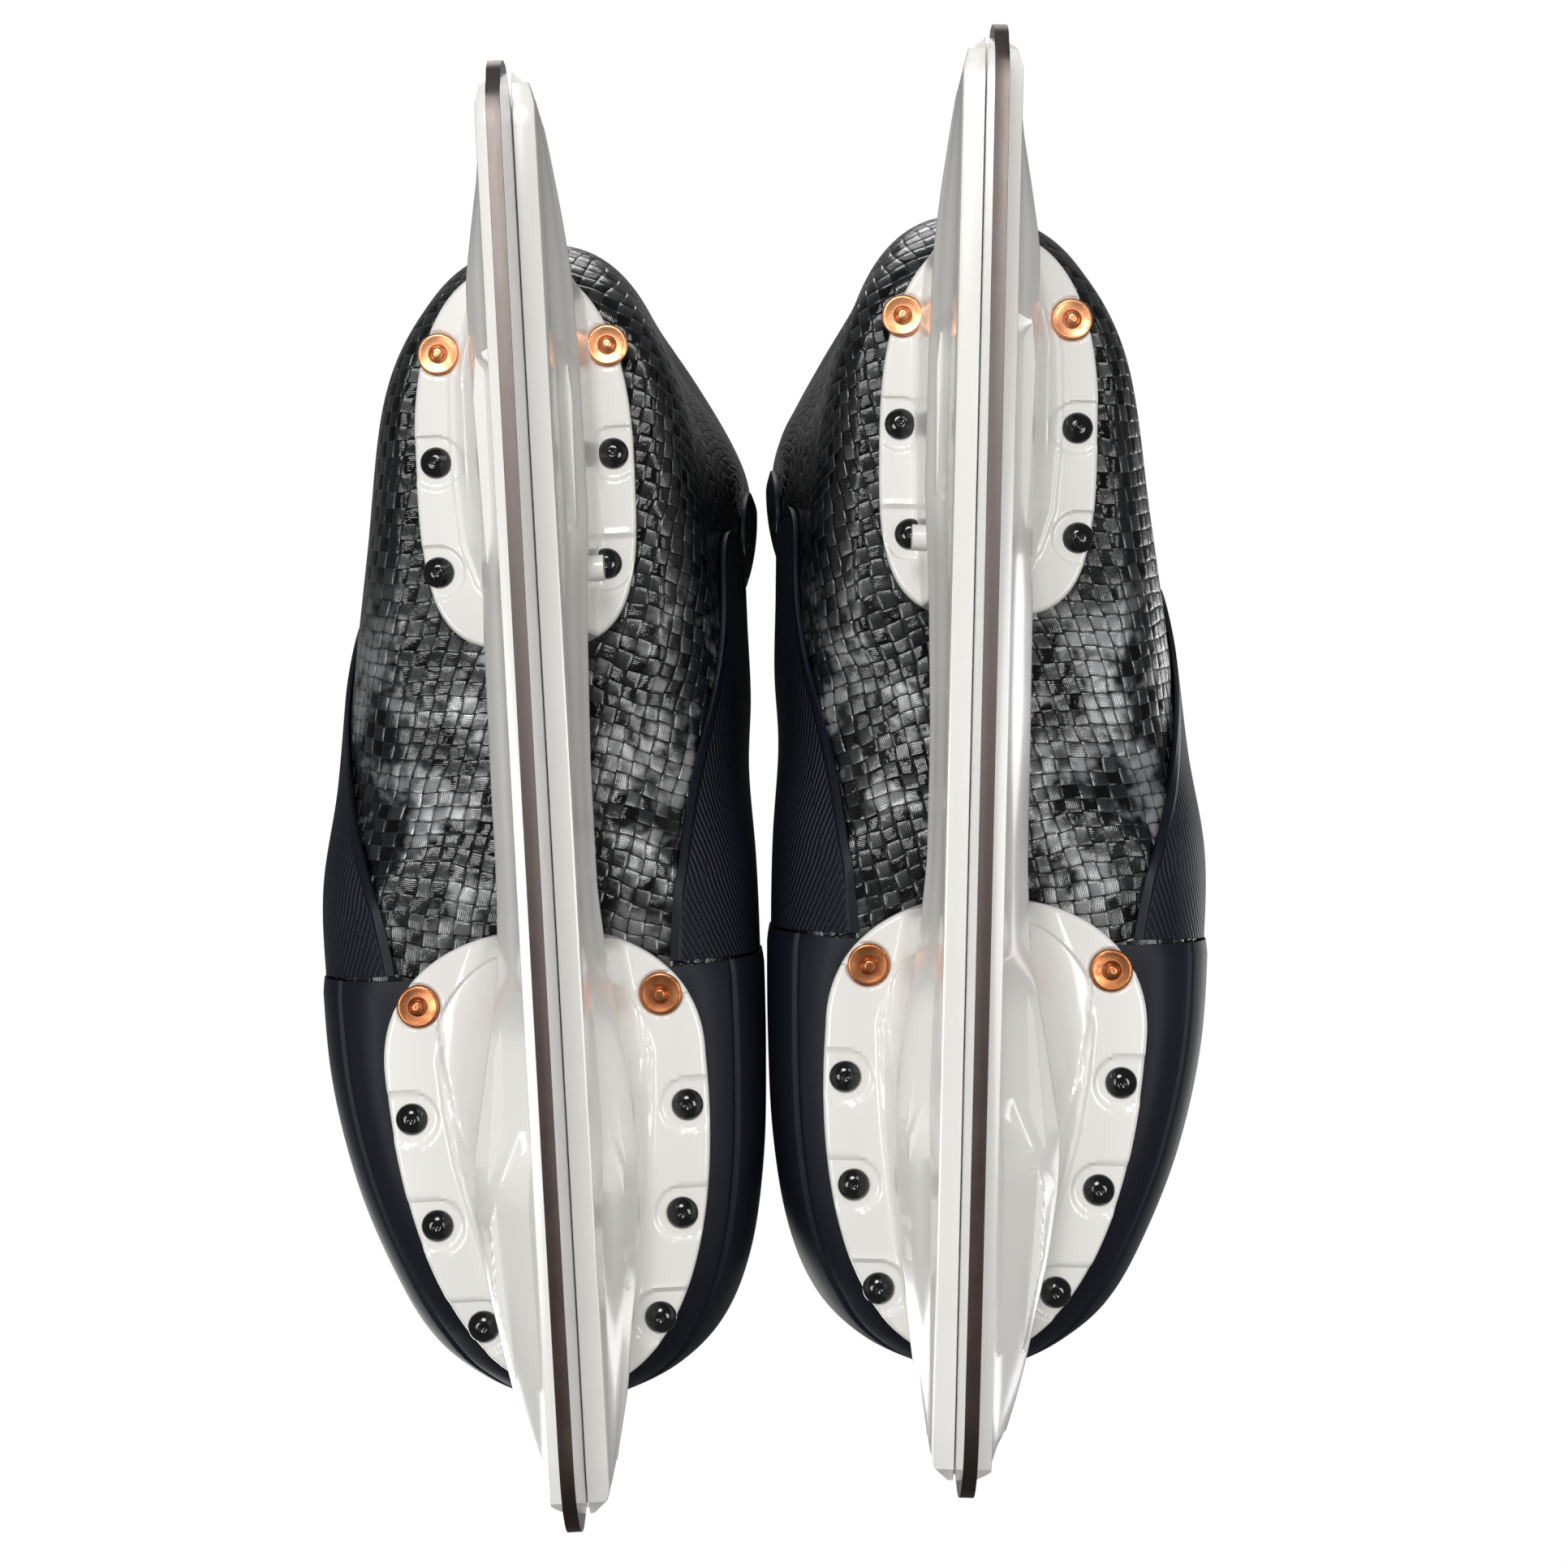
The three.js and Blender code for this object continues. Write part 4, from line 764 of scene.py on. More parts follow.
class SKATE_OT_shell(bpy.types.Operator):
    """Carbon shell of the boot, from behind the toe cap to the collar"""
    bl_idname = "skate.shell"
    bl_label = "Carbon shell"

    def execute(self, context):
        columns = np.linspace(-SIDE_COLUMNS, SIDE_COLUMNS, 145)
        top = COLLAR_ROW - collar_dip(columns)
        outer, _ = sheet_over(3.05, top, columns, 230, 0.0)
        inner, _ = sheet_over(3.05, top, columns, 230, -SHELL_WALL)
        piece = walled("shell", outer, inner, 0.5, pattern_map(outer, 72))
        smooth(piece, 40)
        on_both_skates(piece, "carbon_shell", replaces=["shell"],
                       materials=[finish("carbon")])
        return {"FINISHED"}


def cap_rim(columns):
    side = np.abs(columns) / LAST_COLUMN
    return np.where(side < 0.5, mix(6.95, 7.0, ease(side * 2)),
                    mix(7.0, 5.75, ease(side * 2 - 1)))


class SKATE_OT_toe_cap(bpy.types.Operator):
    """Moulded toe cap: one cup round the toes and under them, with a parting groove"""
    bl_idname = "skate.toe_cap"
    bl_label = "Toe cap"

    def execute(self, context):
        seam = 1.95
        columns = denser((-LAST_COLUMN, LAST_COLUMN), 129, (-seam, seam), 0.16, 9)
        rim = cap_rim(columns)
        share = np.concatenate([np.linspace(0, 0.2, 16)[:-1], np.linspace(0.2, 1, 72)])[:, None]
        rows = rim[None, :] * share
        wide = columns[None, :]
        under = ease((np.abs(wide) - 1.5) / 1.5 + np.maximum(0, 3 - rows))
        outside = LAYER_GAP + mix(1.1, 2.0, under)
        width = np.linalg.norm(boot(rows, wide + 0.1) - boot(rows, wide - 0.1), axis=-1) / 0.2
        from_seam = (np.abs(wide) - seam) * width
        groove = 0.45 * np.exp(-(from_seam / 0.45) ** 2) * ease((rows - 1.2) / 0.8)
        step = 0.25 * (1 - ease((np.abs(wide) - seam) * width / 0.8)) * ease((rows - 1.2) / 0.8)
        edge = ease((1 - share) * 60 / 1.2)
        outer = boot(rows, wide, outside - groove - step * ease(np.abs(wide) - 1.2)
                     - 0.5 * (1 - edge))
        inner = boot(rows[::-1], wide, np.full_like(outside, LAYER_GAP))
        points = np.concatenate([outer, inner])
        points[0] = points[0].mean(axis=0)
        points[-1] = points[-1].mean(axis=0)
        piece = shaped_grid("toe cap", points, centre=np.array([5.0, -80.0, 85.0]))
        closed(piece)
        smooth(piece, 50)
        on_both_skates(piece, "moulded_toe_cap", replaces=["toe_cap"],
                       materials=[finish("cap")])
        return {"FINISHED"}


def side_sheet(side, edge, low_row, top_row, count, across, offset):
    """A grid between an edge line and the lace facing on one side of the boot."""
    at = table([row for row, _ in edge], [column for _, column in edge])
    rows = np.linspace(low_row, top_row, count)
    soft = np.convolve(np.pad(at(rows), 6, mode="edge"), np.ones(13) / 13, mode="valid")
    high = SIDE_COLUMNS - 1.3
    share = np.linspace(0, 1, across)
    columns = side * (soft[:, None] + (high - soft[:, None]) * share[None, :])
    return boot(rows[:, None], columns, offset), rows, columns


class SKATE_OT_side_panels(bpy.types.Operator):
    """Ribbed side panels with their smooth borders"""
    bl_idname = "skate.side_panels"
    bl_label = "Side panels"

    def execute(self, context):
        for name, side, edge in (("lateral", 1, LATERAL_EDGE), ("medial", -1, MEDIAL_EDGE)):
            outer, _, _ = side_sheet(side, edge, 7.01, 19.4, 190, 52, LAYER_GAP + PANEL_WALL)
            inner, _, _ = side_sheet(side, edge, 7.01, 19.4, 190, 52, LAYER_GAP)
            piece = walled("panel", outer, inner, 0.3, pattern_map(outer, 0),
                           border_map(outer, outer[:, 0]))
            smooth(piece, 40)
            on_both_skates(piece, f"{name}_ribbed_panel",
                           replaces=[f"{name}_side_panel"], materials=[finish("panel")])
        return {"FINISHED"}


class SKATE_OT_facings(bpy.types.Operator):
    """Lace facings with two sewn lines and nine eyelets a side"""
    bl_idname = "skate.facings"
    bl_label = "Lace facings"

    def execute(self, context):
        for name, side in (("lateral", 1), ("medial", -1)):
            rows = np.linspace(7, 19.6, 170)
            columns = side * np.linspace(SIDE_COLUMNS - 1.25, SIDE_COLUMNS, 22)
            share = np.linspace(0, 1, 22)[None, :]
            stitch = 0.22 * (np.exp(-((share - 0.1) / 0.03) ** 2)
                             + np.exp(-((share - 0.88) / 0.03) ** 2))
            outer = boot(rows[:, None], columns[None, :],
                         LAYER_GAP + PANEL_WALL - stitch * np.ones((170, 1)))
            inner = boot(rows[:, None], columns[None, :], np.full((170, 22), LAYER_GAP))
            piece = walled("facing", outer, inner, 0.3, pattern_map(outer, 0))
            smooth(piece, 40)
            on_both_skates(piece, f"{name}_lace_facing",
                           replaces=[f"{name}_eyelet_facing"], materials=[finish("facing")])
            ring = turned("eyelet", [(2.1, -0.6), (2.1, 0.35), (2.5, 0.75), (3.4, 0.7),
                                     (4.1, 0.3), (4.2, 0.0), (4.2, -0.3)], 28)
            line = np.linspace(7.5, 19.2, 300)
            column = side * (SIDE_COLUMNS - 0.55)
            run = lengths(boot(line, np.full(300, column), 0.0)[None], 1)[0]
            along = np.interp(np.linspace(0, run[-1], 9), run, line)
            spots = boot(along, np.full(9, column), LAYER_GAP + PANEL_WALL)
            lifted = boot(along, np.full(9, column), 6.0)
            for i, (spot, above) in enumerate(zip(spots, lifted), 1):
                eyelet = ring.copy()
                eyelet.data = ring.data.copy()
                bpy.context.scene.collection.objects.link(eyelet)
                out = Vector(above - spot).normalized()
                eyelet.data.transform(Matrix.Translation(Vector(spot))
                                      @ out.to_track_quat("Z", "Y").to_matrix().to_4x4())
                smooth(eyelet, 40)
                on_both_skates(eyelet, f"{name}_eyelet_{i}",
                               materials=[finish("enamel")])
            bpy.data.objects.remove(ring)
        return {"FINISHED"}


class SKATE_OT_liner(bpy.types.Operator):
    """Padded lining with a rolled collar, and the footbed"""
    bl_idname = "skate.liner"
    bl_label = "Liner and footbed"

    def execute(self, context):
        columns = np.linspace(-SIDE_COLUMNS, SIDE_COLUMNS, 97)
        top = COLLAR_ROW + 0.5 - collar_dip(columns)
        _, rows = sheet_over(4.0, top, columns, 170, -2.9)
        roll = np.exp(-((rows - top[None, :] + 0.28) / 0.3) ** 2)
        ankle = ease((rows - 11) / 3) * (1 - ease((rows - 17.5) / 1.5))
        puff = 0.35 * roll - 0.25 * ankle * np.abs(np.sin(rows * math.pi))
        outer = boot(rows, columns[None, :], -2.9)
        inner = boot(rows, columns[None, :], -6.8 + puff)
        piece = walled("liner", outer, inner, 1.1, pattern_map(outer, 48))
        smooth(piece, 60)
        on_both_skates(piece, "padded_liner", replaces=["liner"],
                       materials=[finish("knit")])
        rows = np.linspace(4, 12, 70)
        columns = np.linspace(-1.6, 1.6, 30)
        ball = 0.35 * np.exp(-((rows[:, None] - 6.5) / 1.2) ** 2)
        shape = np.ones((1, 30))
        outer = boot(rows[:, None], columns[None, :], -7.45)
        inner = boot(rows[:, None], columns[None, :], -9.35 - ball * shape)
        piece = walled("footbed", outer, inner, 0.5, pattern_map(outer, 15))
        smooth(piece, 45)
        on_both_skates(piece, "footbed", replaces=["insole"],
                       materials=[finish("footbed")])
        return {"FINISHED"}


class SKATE_OT_tongue(bpy.types.Operator):
    """Felt tongue with a bound edge and three pressed ridges"""
    bl_idname = "skate.tongue"
    bl_label = "Felt tongue"

    def execute(self, context):
        rows = np.linspace(5.45, 21.95, 150)
        low = mix(6.35, 5.15, ease((rows - 20.2) / 0.7))
        corner = np.sqrt(np.clip(1 - ((rows - 20.9) / 1.05).clip(0, 1) ** 2, 0.02, 1))
        reach = (LAST_COLUMN - low) * mix(1, 0.55 + 0.45 * corner, rows > 20.9)
        share = np.linspace(-1, 1, 61)[None, :]
        place = LAST_COLUMN - np.abs(share) * reach[:, None]
        sign = np.where(share <= 0, 1.0, -1.0)
        lift = mix(-0.2, -1, ease((rows - 5.6) / 1.2))[:, None]
        ridge = 1.3 * (np.abs(np.sin(share * math.pi * 1.5)) ** 0.4 - 1) * ease((rows - 8)[:, None])
        bound = 0.9 * ease((np.abs(share) - 0.86) / 0.03) * ease((rows - 8)[:, None])
        across = rows[:, None] * np.ones_like(share)
        outer = boot(across, sign * place, np.minimum(lift + ridge + bound, lift))
        inner = boot(across, sign * place, lift - 5.8)
        piece = walled("tongue", outer, inner, 1.6, pattern_map(outer, 30))
        smooth(piece, 60)
        on_both_skates(piece, "felt_tongue", body="tongue", replaces=["tongue"],
                       materials=[finish("felt")])
        return {"FINISHED"}


class SKATE_OT_tendon_guard(bpy.types.Operator):
    """Flexible guard behind the leg, with flex grooves"""
    bl_idname = "skate.tendon_guard"
    bl_label = "Tendon guard"

    def execute(self, context):
        columns = np.linspace(-1.5, 1.5, 61)
        share = np.linspace(0, 1, 90)[:, None]
        top = 22 - 0.35 * np.abs(columns) - 0.5 * np.clip(np.abs(columns) - 1.1, 0, 1) ** 2
        rows = mix(19.0, top[None, :], share)
        rib = 0.5 * (0.5 + 0.5 * np.cos(share * math.pi * 18)) * ease((share - 0.3) / 0.1) \
            * (1 - ease((share - 0.86) / 0.06)) * (1 - ease((np.abs(columns) - 1.0) / 0.2))
        outer = boot(rows, columns[None, :], LAYER_GAP + 2.4 - rib)
        inner = boot(rows, columns[None, :], LAYER_GAP)
        piece = walled("tendon guard", outer, inner, 0.6)
        smooth(piece, 45)
        on_both_skates(piece, "tendon_guard_shell", body="tendon_guard",
                       replaces=["tendon_guard"], materials=[finish("cap")])
        return {"FINISHED"}


# ---------------------------------------------------------------- holder
BRIDGE_TOP_Z = 47
PIN_Y, PIN_Z = 50, 56.5
BOSS_RADIUS, BOSS_REACH = 2.9, 12.7
RUNNER_TOP_Z = 29
RUNNER_WIDTH = 2.9
SLOT_HALF = RUNNER_WIDTH / 2 + 0.1
SLOT_ROOF = RUNNER_TOP_Z + 0.35
RAIL_HALF = 6.2
HEEL_PLATE = {"rear": 121, "front": 34, "wide": 77.5, "half": 24.7, "centre": 4.9, "drift": 0,
              "powers": (2.3, 3.5), "seat": HEEL_SOLE_Z - 0.3}
TOE_PLATE = {"rear": -28.8, "front": -131, "wide": -58, "half": 35.6, "centre": 6.4,
             "drift": 3.2, "powers": (2.2, 2.2), "seat": TOE_SOLE_Z - 0.3}
# Keel stations: y, lower z, top z, lateral and medial half widths at the shoulder
KEEL = np.array([
    (150, 26, 33, 2.4, 2.4), (147, 23.2, 37, 5.2, 5.2), (140, 22, 41, 7, 6.8),
    (125, 22, 48, 10.5, 8.6), (112, 22, 53, 13.2, 9.8), (90, 22, 54, 13.2, 10.4),
    (60, 22, 53, 12.6, 10.6), (36, 22, 49, 12.9, 9.3), (8, 22, 47, 12.9, 8.5),
    (-20, 22, 47, 12.9, 8.5), (-38, 22, 48, 13.9, 9.9), (-60, 22, 50, 18.2, 13.4),
    (-79, 22, 51, 21.6, 14.2), (-90, 22, 51, 21.6, 13.8), (-105, 22, 50, 19.6, 12.2),
    (-127, 22, 46, 14.8, 9.4), (-137.5, 22, 40, 11.4, 7.4), (-144.5, 22.6, 35, 7.4, 5.6),
    (-147.5, 25, 31, 3.2, 2.8)], float)
RIVETS = {
    "copper_rivet_heel": ("copper", HEEL_PLATE, ((101.4, 23, -15.2),)),
    "black_rivet_heel": ("black", HEEL_PLATE, ((77, 24.9, -15.2), (52.2, 25.6, -12.4))),
    "copper_rivet_toe": ("copper", TOE_PLATE, ((-44.4, 33.6, -20),)),
    "black_rivet_toe": ("black", TOE_PLATE, ((-69.2, 36.4, -24.6), (-93, 32, -22.2),
                                             (-115.8, 23, -16.2))),
}
PLATE_WALL = 3.2
LAND = 1.1           # how much thicker the plate is round the rivets' pockets


def keel_at(y):
    """Smooth keel sizes at y, from the listed stations."""
    order = np.argsort(KEEL[:, 0])
    sizes = [np.interp(y, KEEL[order, 0], KEEL[order, k]) for k in range(1, 5)]
    return sizes


def keel_body():
    """The hull round the runner: two rails, a slot, facets up to a shoulder, and a rounded top."""
    y = np.unique(np.concatenate([np.linspace(-147.5, 150, 200),
                                  np.linspace(-147.5, -140, 14), np.linspace(142, 150, 14)]))
    kernel = np.hanning(9)[1:-1]
    kernel /= kernel.sum()
    low, top, lateral, medial = keel_at(y)
    for values in (top, lateral, medial):
        padded = np.pad(values, 3, mode="edge")
        inner = np.convolve(padded, kernel, mode="valid")
        values[14:-14] = inner[14:-14]
    deep = 0.30 + 0.26 * ease((y + 86) / 12) * (1 - ease((y + 52) / 16)) \
        + 0.2 * ease((y - 44) / 14) * (1 - ease((y - 92) / 3))
    rings = []
    for side, wide in ((1, lateral), (-1, medial)):
        foot = np.minimum(RAIL_HALF, wide)
        slot = np.minimum(SLOT_HALF, foot * 0.6)
        roof = np.minimum(SLOT_ROOF, top - 2)
        neck = mix(low, top, deep)
        shoulder = mix(low, top, 0.80)
        waist = mix(foot, wide, 0.13)
        line = [(np.zeros_like(y), roof), (slot, roof), (slot, mix(low, roof, 0.5)),
                (slot, low + 0.25), (slot + 0.15, low), (foot - 0.7, low),
                (foot - 0.15, low + 0.2), (foot, low + 0.8),
                (mix(foot, waist, 0.5), mix(low, neck, 0.6)), (waist, neck),
                (mix(waist, wide, 0.3), mix(neck, shoulder, 0.24)),
                (mix(waist, wide, 0.62), mix(neck, shoulder, 0.55)),
                (wide - 0.4, shoulder - 0.6), (wide, shoulder + 0.4),
                (wide, mix(shoulder, top, 0.5)), (wide - 0.5, top - 0.6), (wide - 1.6, top),
                (wide * 0.4, top + 0.1)]
        rings.append([np.stack([side * x, y, z + 0 * y], -1) for x, z in line])
    ring = rings[0] + rings[1][::-1] + [rings[0][0]]
    points = np.stack(ring, axis=1)
    body = shaped_grid("keel", points)
    closed(body)
    return body


# Tower flare on each plate: y, where the flare meets the hull and where it meets the land,
# on the lateral and on the medial side
TOE_FLARE = np.array([
    (-31, 12.8, 21, 9.0, 12.6), (-47, 14.5, 28.2, 10.4, 15.0), (-57, 17, 29.6, 11.5, 17.4),
    (-68, 20, 28.8, 12.6, 16.9), (-80, 21.4, 27.0, 13.8, 15.9), (-90, 21.4, 24.6, 13.0, 14.6),
    (-105, 19.2, 20.8, 11.5, 12.4), (-128, 13.6, 14.2, 7.5, 8.2)], float)
HEEL_FLARE = np.array([
    (122, 8, 10, 6, 8), (112, 11, 16, 8.4, 10.6), (95, 12, 20.4, 9.6, 12.0),
    (78, 12, 21.2, 9.8, 12.2), (58, 11.2, 19.8, 9.4, 11.2), (42, 10, 14.5, 9.0, 10.0),
    (34, 9.6, 11.5, 8.6, 9.2)], float)


def plate_underside(form, flare, x, y):
    """Height of a plate's lower face with its land, pockets, recess, creases and tower flare."""
    base = form["seat"] - PLATE_WALL
    order = np.argsort(flare[:, 0])
    read = [np.interp(y, flare[order, 0], flare[order, k]) for k in range(1, 5)]
    inner = np.where(x > 0, read[0], read[2])
    outer = np.where(x > 0, read[1], read[3])
    span = np.where(y > form["wide"], form["rear"] - form["wide"], form["wide"] - form["front"])
    drift = form["drift"] * np.clip((form["wide"] - y) / (form["wide"] - form["front"]), 0, 1)
    mid = form["centre"] - drift
    flat_x, flat_y = (x - mid) / form["half"], (y - form["wide"]) / span
    power = np.where(y > form["wide"], *form["powers"])
    ratio = (np.abs(flat_x) ** power + np.abs(flat_y) ** power) ** (1 / power)
    radius = np.hypot(x - mid, y - form["wide"])
    from_rim = (1 - ratio) * radius / np.maximum(ratio, 0.05)
    from_rim = np.where(ratio < 0.3, 20, from_rim)
    land = np.full_like(x, LAND)
    heel_like = form["rear"] > 0
    if heel_like:
        ridge_a = np.where(x > 0, 17.5, 11.5)
        oval = np.hypot((x - 3.2) / 15.5, (y - 84) / 33.5)
        start = 92
    else:
        ridge_a = np.where(x > 0, table([-48, -54.8, -68.4, -76.2, -90], [29.5, 29.2, 26.7, 23.7,
                                                                         19])(y),
                           table([-48, -57, -67, -76, -90], [14.7, 15.3, 14.2, 12.5, 10])(y))
        oval = np.hypot((x - 7.4) / 25.1, (y + 62) / 29.4)
        start = -52
    above = ease((y - start) / 8)
    inside = mix(ridge_a - np.abs(x), (1 - oval) * (20 if heel_like else 27), above)
    land -= 1.0 * ease((inside + 0.5) / 1.0) * ease((y - (start - 34)) / 20)
    land += 0.5 * np.exp(-((inside + 0.9) / 0.6) ** 2) * ease((y - (start - 26)) / 6)
    for _, (kind, plate, rows) in RIVETS.items():
        if plate is not form:
            continue
        for row_y, lateral_x, medial_x in rows:
            for rivet_x in (lateral_x, medial_x):
                dx, dy = x - rivet_x, y - row_y
                outward = 1 if rivet_x > 0 else -1
                past = dx * outward > 0
                reach = np.where(past & (dy > 0), np.abs(dy), np.hypot(dx, dy))
                size = 5.9 if kind == "black" else 4.85
                pocket = 1 - ease((reach - size + 0.5) / 1.2)
                deep = LAND if kind == "copper" else 0.8
                land = np.minimum(land, LAND - deep * pocket)
                if kind == "black":
                    lip = np.exp(-((reach - size - 0.9) / 0.6) ** 2) \
                        * ease((dy + 2.5) / 4) * (1 - ease((dx * outward - 4) / 3))
                    land += 0.3 * lip
                else:
                    bar = np.exp(-((dy + 6.6) / 0.5) ** 2) * (1 - ease((np.abs(dx) - 4) / 1.5))
                    land += 0.4 * bar
    creases = [(outer, (-132, -54) if not heel_like else (46, 104))]
    for line, (front, rear) in creases:
        near = np.exp(-((np.abs(x) - line) / 0.55) ** 2)
        run = ease((y - front) / 4) * (1 - ease((y - rear) / 3))
        land += 0.55 * near * run
    share = np.clip((outer - np.abs(x)) / np.maximum(outer - inner, 0.4), 0, 2.2)
    fall = (base - 46.5) * (0.16 * np.minimum(share, 1) + 0.84 * np.minimum(share, 1) ** 2.3)
    fall += np.maximum(share - 1, 0) * 6
    z = base - land - fall
    round_off = 1.3
    edge = np.clip(round_off - from_rim, 0, round_off)
    z += round_off - np.sqrt(round_off ** 2 - edge ** 2)
    return np.minimum(z, form["seat"] - 0.4)


def plate_body(form, flare):
    """A plate with the flare of its tower below it and a level seat above."""
    shares = np.linspace(-1, 1, 250)
    shares = mix(shares, np.sin(shares * math.pi / 2), 0.75)
    shares = np.clip(shares, -0.99995, 0.99995)
    y = np.where(shares < 0, mix(form["wide"], form["rear"], -shares),
                 mix(form["wide"], form["front"], shares))
    power = np.where(shares < 0, *form["powers"])
    half = form["half"] * (1 - np.abs(shares) ** power) ** (1 / power)
    mid = form["centre"] - form["drift"] * np.maximum(shares, 0)
    across = np.linspace(-1, 1, 181)
    across = np.sign(across) * (1 - (1 - np.abs(across)) ** 1.25)
    x = mid[:, None] + half[:, None] * across[None, :]
    rows = np.repeat(y[:, None], x.shape[1], axis=1)
    lower = np.stack([x, rows, plate_underside(form, flare, x, rows)], -1)
    back = np.linspace(1, -1, 9)
    inset = np.maximum(half[:, None] - 0.25, 0) * back[None, :]
    top_x = mid[:, None] + inset
    top_rows = np.repeat(y[:, None], 9, axis=1)
    upper = np.stack([top_x, top_rows, np.full_like(top_x, form["seat"])], -1)
    points = np.concatenate([lower, upper, lower[:, :1]], axis=1)
    body = shaped_grid("plate", points)
    closed(body)
    return body


def tower_core(form, stations, low):
    """The upright core of a tower, from inside the keel to inside the plate."""
    y0, y1 = stations[0][0], stations[-1][0]
    y = np.linspace(y0, y1, 60)
    lateral = table([s[0] for s in stations], [s[1] for s in stations])(y)
    medial = table([s[0] for s in stations], [s[2] for s in stations])(y)
    low_y = mix(low[0], low[1], (y - y0) / (y1 - y0))
    levels = np.linspace(0, 1, 9)
    rings = []
    for level in levels:
        wide = 1 + 0.25 * level ** 2
        row_y = mix(low_y, y, level ** 0.7)
        z = np.full_like(y, mix(BRIDGE_TOP_Z - 6, form["seat"] - PLATE_WALL / 2, level))
        one = np.stack([lateral * wide, row_y, z], -1)
        other = np.stack([-medial * wide, row_y, z], -1)[::-1]
        rings.append(np.concatenate([one, other, one[:1]]))
    body = shaped_grid("tower", np.stack(rings))
    closed(body)
    return body


def side_plate(outline, x0, x1):
    """A plate cut to a side outline of [y, z] points between two x values."""
    points = np.array([[(x, y, z) for y, z in list(outline) + [outline[0]]] for x in (x0, x1)])
    body = shaped_grid("side plate", points)
    closed(body)
    return body


def cross_pin(radius, x0, x1, y, z, sides=24):
    deselect()
    bpy.ops.mesh.primitive_cylinder_add(vertices=sides, radius=radius, depth=x1 - x0)
    pin = bpy.context.object
    pin.data.transform(Matrix.Translation(((x0 + x1) / 2, y, z))
                       @ Matrix.Rotation(math.pi / 2, 4, "Y"))
    return pin


class SKATE_OT_holder(bpy.types.Operator):
    """Moulded holder: keel, two towers and their plates, with the runner slot and trigger bay"""
    bl_idname = "skate.holder"
    bl_label = "Holder"

    def execute(self, context):
        body = keel_body()
        for form, flare in ((HEEL_PLATE, HEEL_FLARE), (TOE_PLATE, TOE_FLARE)):
            boolean(body, plate_body(form, flare), "UNION")
        heel_core = tower_core(HEEL_PLATE, ((39, 9, 7), (52, 11, 8.4), (80, 12, 9),
                                            (106, 9, 6), (114, 5, 2.4)), (35, 128))
        toe_core = tower_core(TOE_PLATE, ((-128, 7, 2.5), (-104, 13, 9), (-79, 18, 12),
                                          (-56, 15, 9.6), (-38, 9, 5)), (-137, -33))
        boolean(body, heel_core, "UNION")
        boolean(body, cross_pin(BOSS_RADIUS, -BOSS_REACH, BOSS_REACH, PIN_Y, PIN_Z), "UNION")
        boolean(body, toe_core, "UNION")
        hook_y, hook_z = 56, 40
        tools = [
            cross_pin(4.7, -SLOT_HALF, SLOT_HALF, -135.5, 30.5),
            side_plate([(hook_y - 11.2, SLOT_ROOF - 3), (hook_y + 10.1, SLOT_ROOF - 3),
                        (hook_y + 10.1, hook_z + 5.2), (hook_y - 11.2, hook_z + 5.2)],
                       -SLOT_HALF, SLOT_HALF),
            side_plate([(20, 49.3), (38.8, 49.3), (38.8, hook_z - 7.5),
                        (hook_y + 2.2, hook_z - 7.5), (hook_y + 2.2, 64), (20, 64)], -3.2, 3.2),
            cross_pin(5, 2.2, 6.8, PIN_Y, PIN_Z),
        ]
        for tool in tools:
            boolean(body, tool, "DIFFERENCE")
        in_edit_mode(body, (bpy.ops.mesh.remove_doubles, {"threshold": 0.001}))
        smooth(body, 28)
        on_both_skates(body, "moulded_holder", replaces=["holder"],
                       materials=[finish("holder")])
        return {"FINISHED"}


class SKATE_OT_rivets(bpy.types.Operator):
    """Copper rivets over washers, and black domed rivets"""
    bl_idname = "skate.rivets"
    bl_label = "Rivets"

    def execute(self, context):
        washer = turned("copper rivet", [
            (1.6, 2.2), (1.6, 0.1), (4.45, 0.1), (4.7, -0.15), (4.68, -0.75), (4.4, -1.02),
            (4.0, -1.06), (3.7, -0.95), (2.2, -0.9), (2.0, -1.15), (1.72, -1.4), (1.5, -1.75),
            (1.42, -2.1), (1.15, -2.45), (0.75, -2.62), (0.35, -2.58)], 40)
        dome = turned("black rivet", [
            (1.6, 2.2), (1.6, 0.1), (3.3, 0.1), (3.5, -0.1), (3.5, -0.35), (3.25, -0.75),
            (2.75, -1.15), (2.2, -1.55), (1.6, -1.82), (1.1, -1.95), (0.75, -1.9), (0.5, -1.68),
            (0.25, -1.6)], 36)
        for name, (kind, plate, rows) in RIVETS.items():
            under = plate["seat"] - PLATE_WALL - 0.3
            for i, (y, lateral, medial) in enumerate(rows, 1):
                for word, x in (("lateral", lateral), ("medial", medial)):
                    head = (washer if kind == "copper" else dome).copy()
                    head.data = (washer if kind == "copper" else dome).data.copy()
                    bpy.context.scene.collection.objects.link(head)
                    lean = Matrix.Rotation(0.035 * math.sin(7 * y + x), 4, "X")
                    spin = Matrix.Rotation(y + x, 4, "Z")
                    head.data.transform(Matrix.Translation((x, y, under)) @ spin @ lean)
                    smooth(head, 40)
                    node = f"{name}_{word}" + (f"_{i}" if len(rows) > 1 else "")
                    on_both_skates(head, node + "_head", replaces=[node],
                                   materials=[finish("copper" if kind == "copper" else "enamel")])
        bpy.data.objects.remove(washer)
        bpy.data.objects.remove(dome)
        return {"FINISHED"}


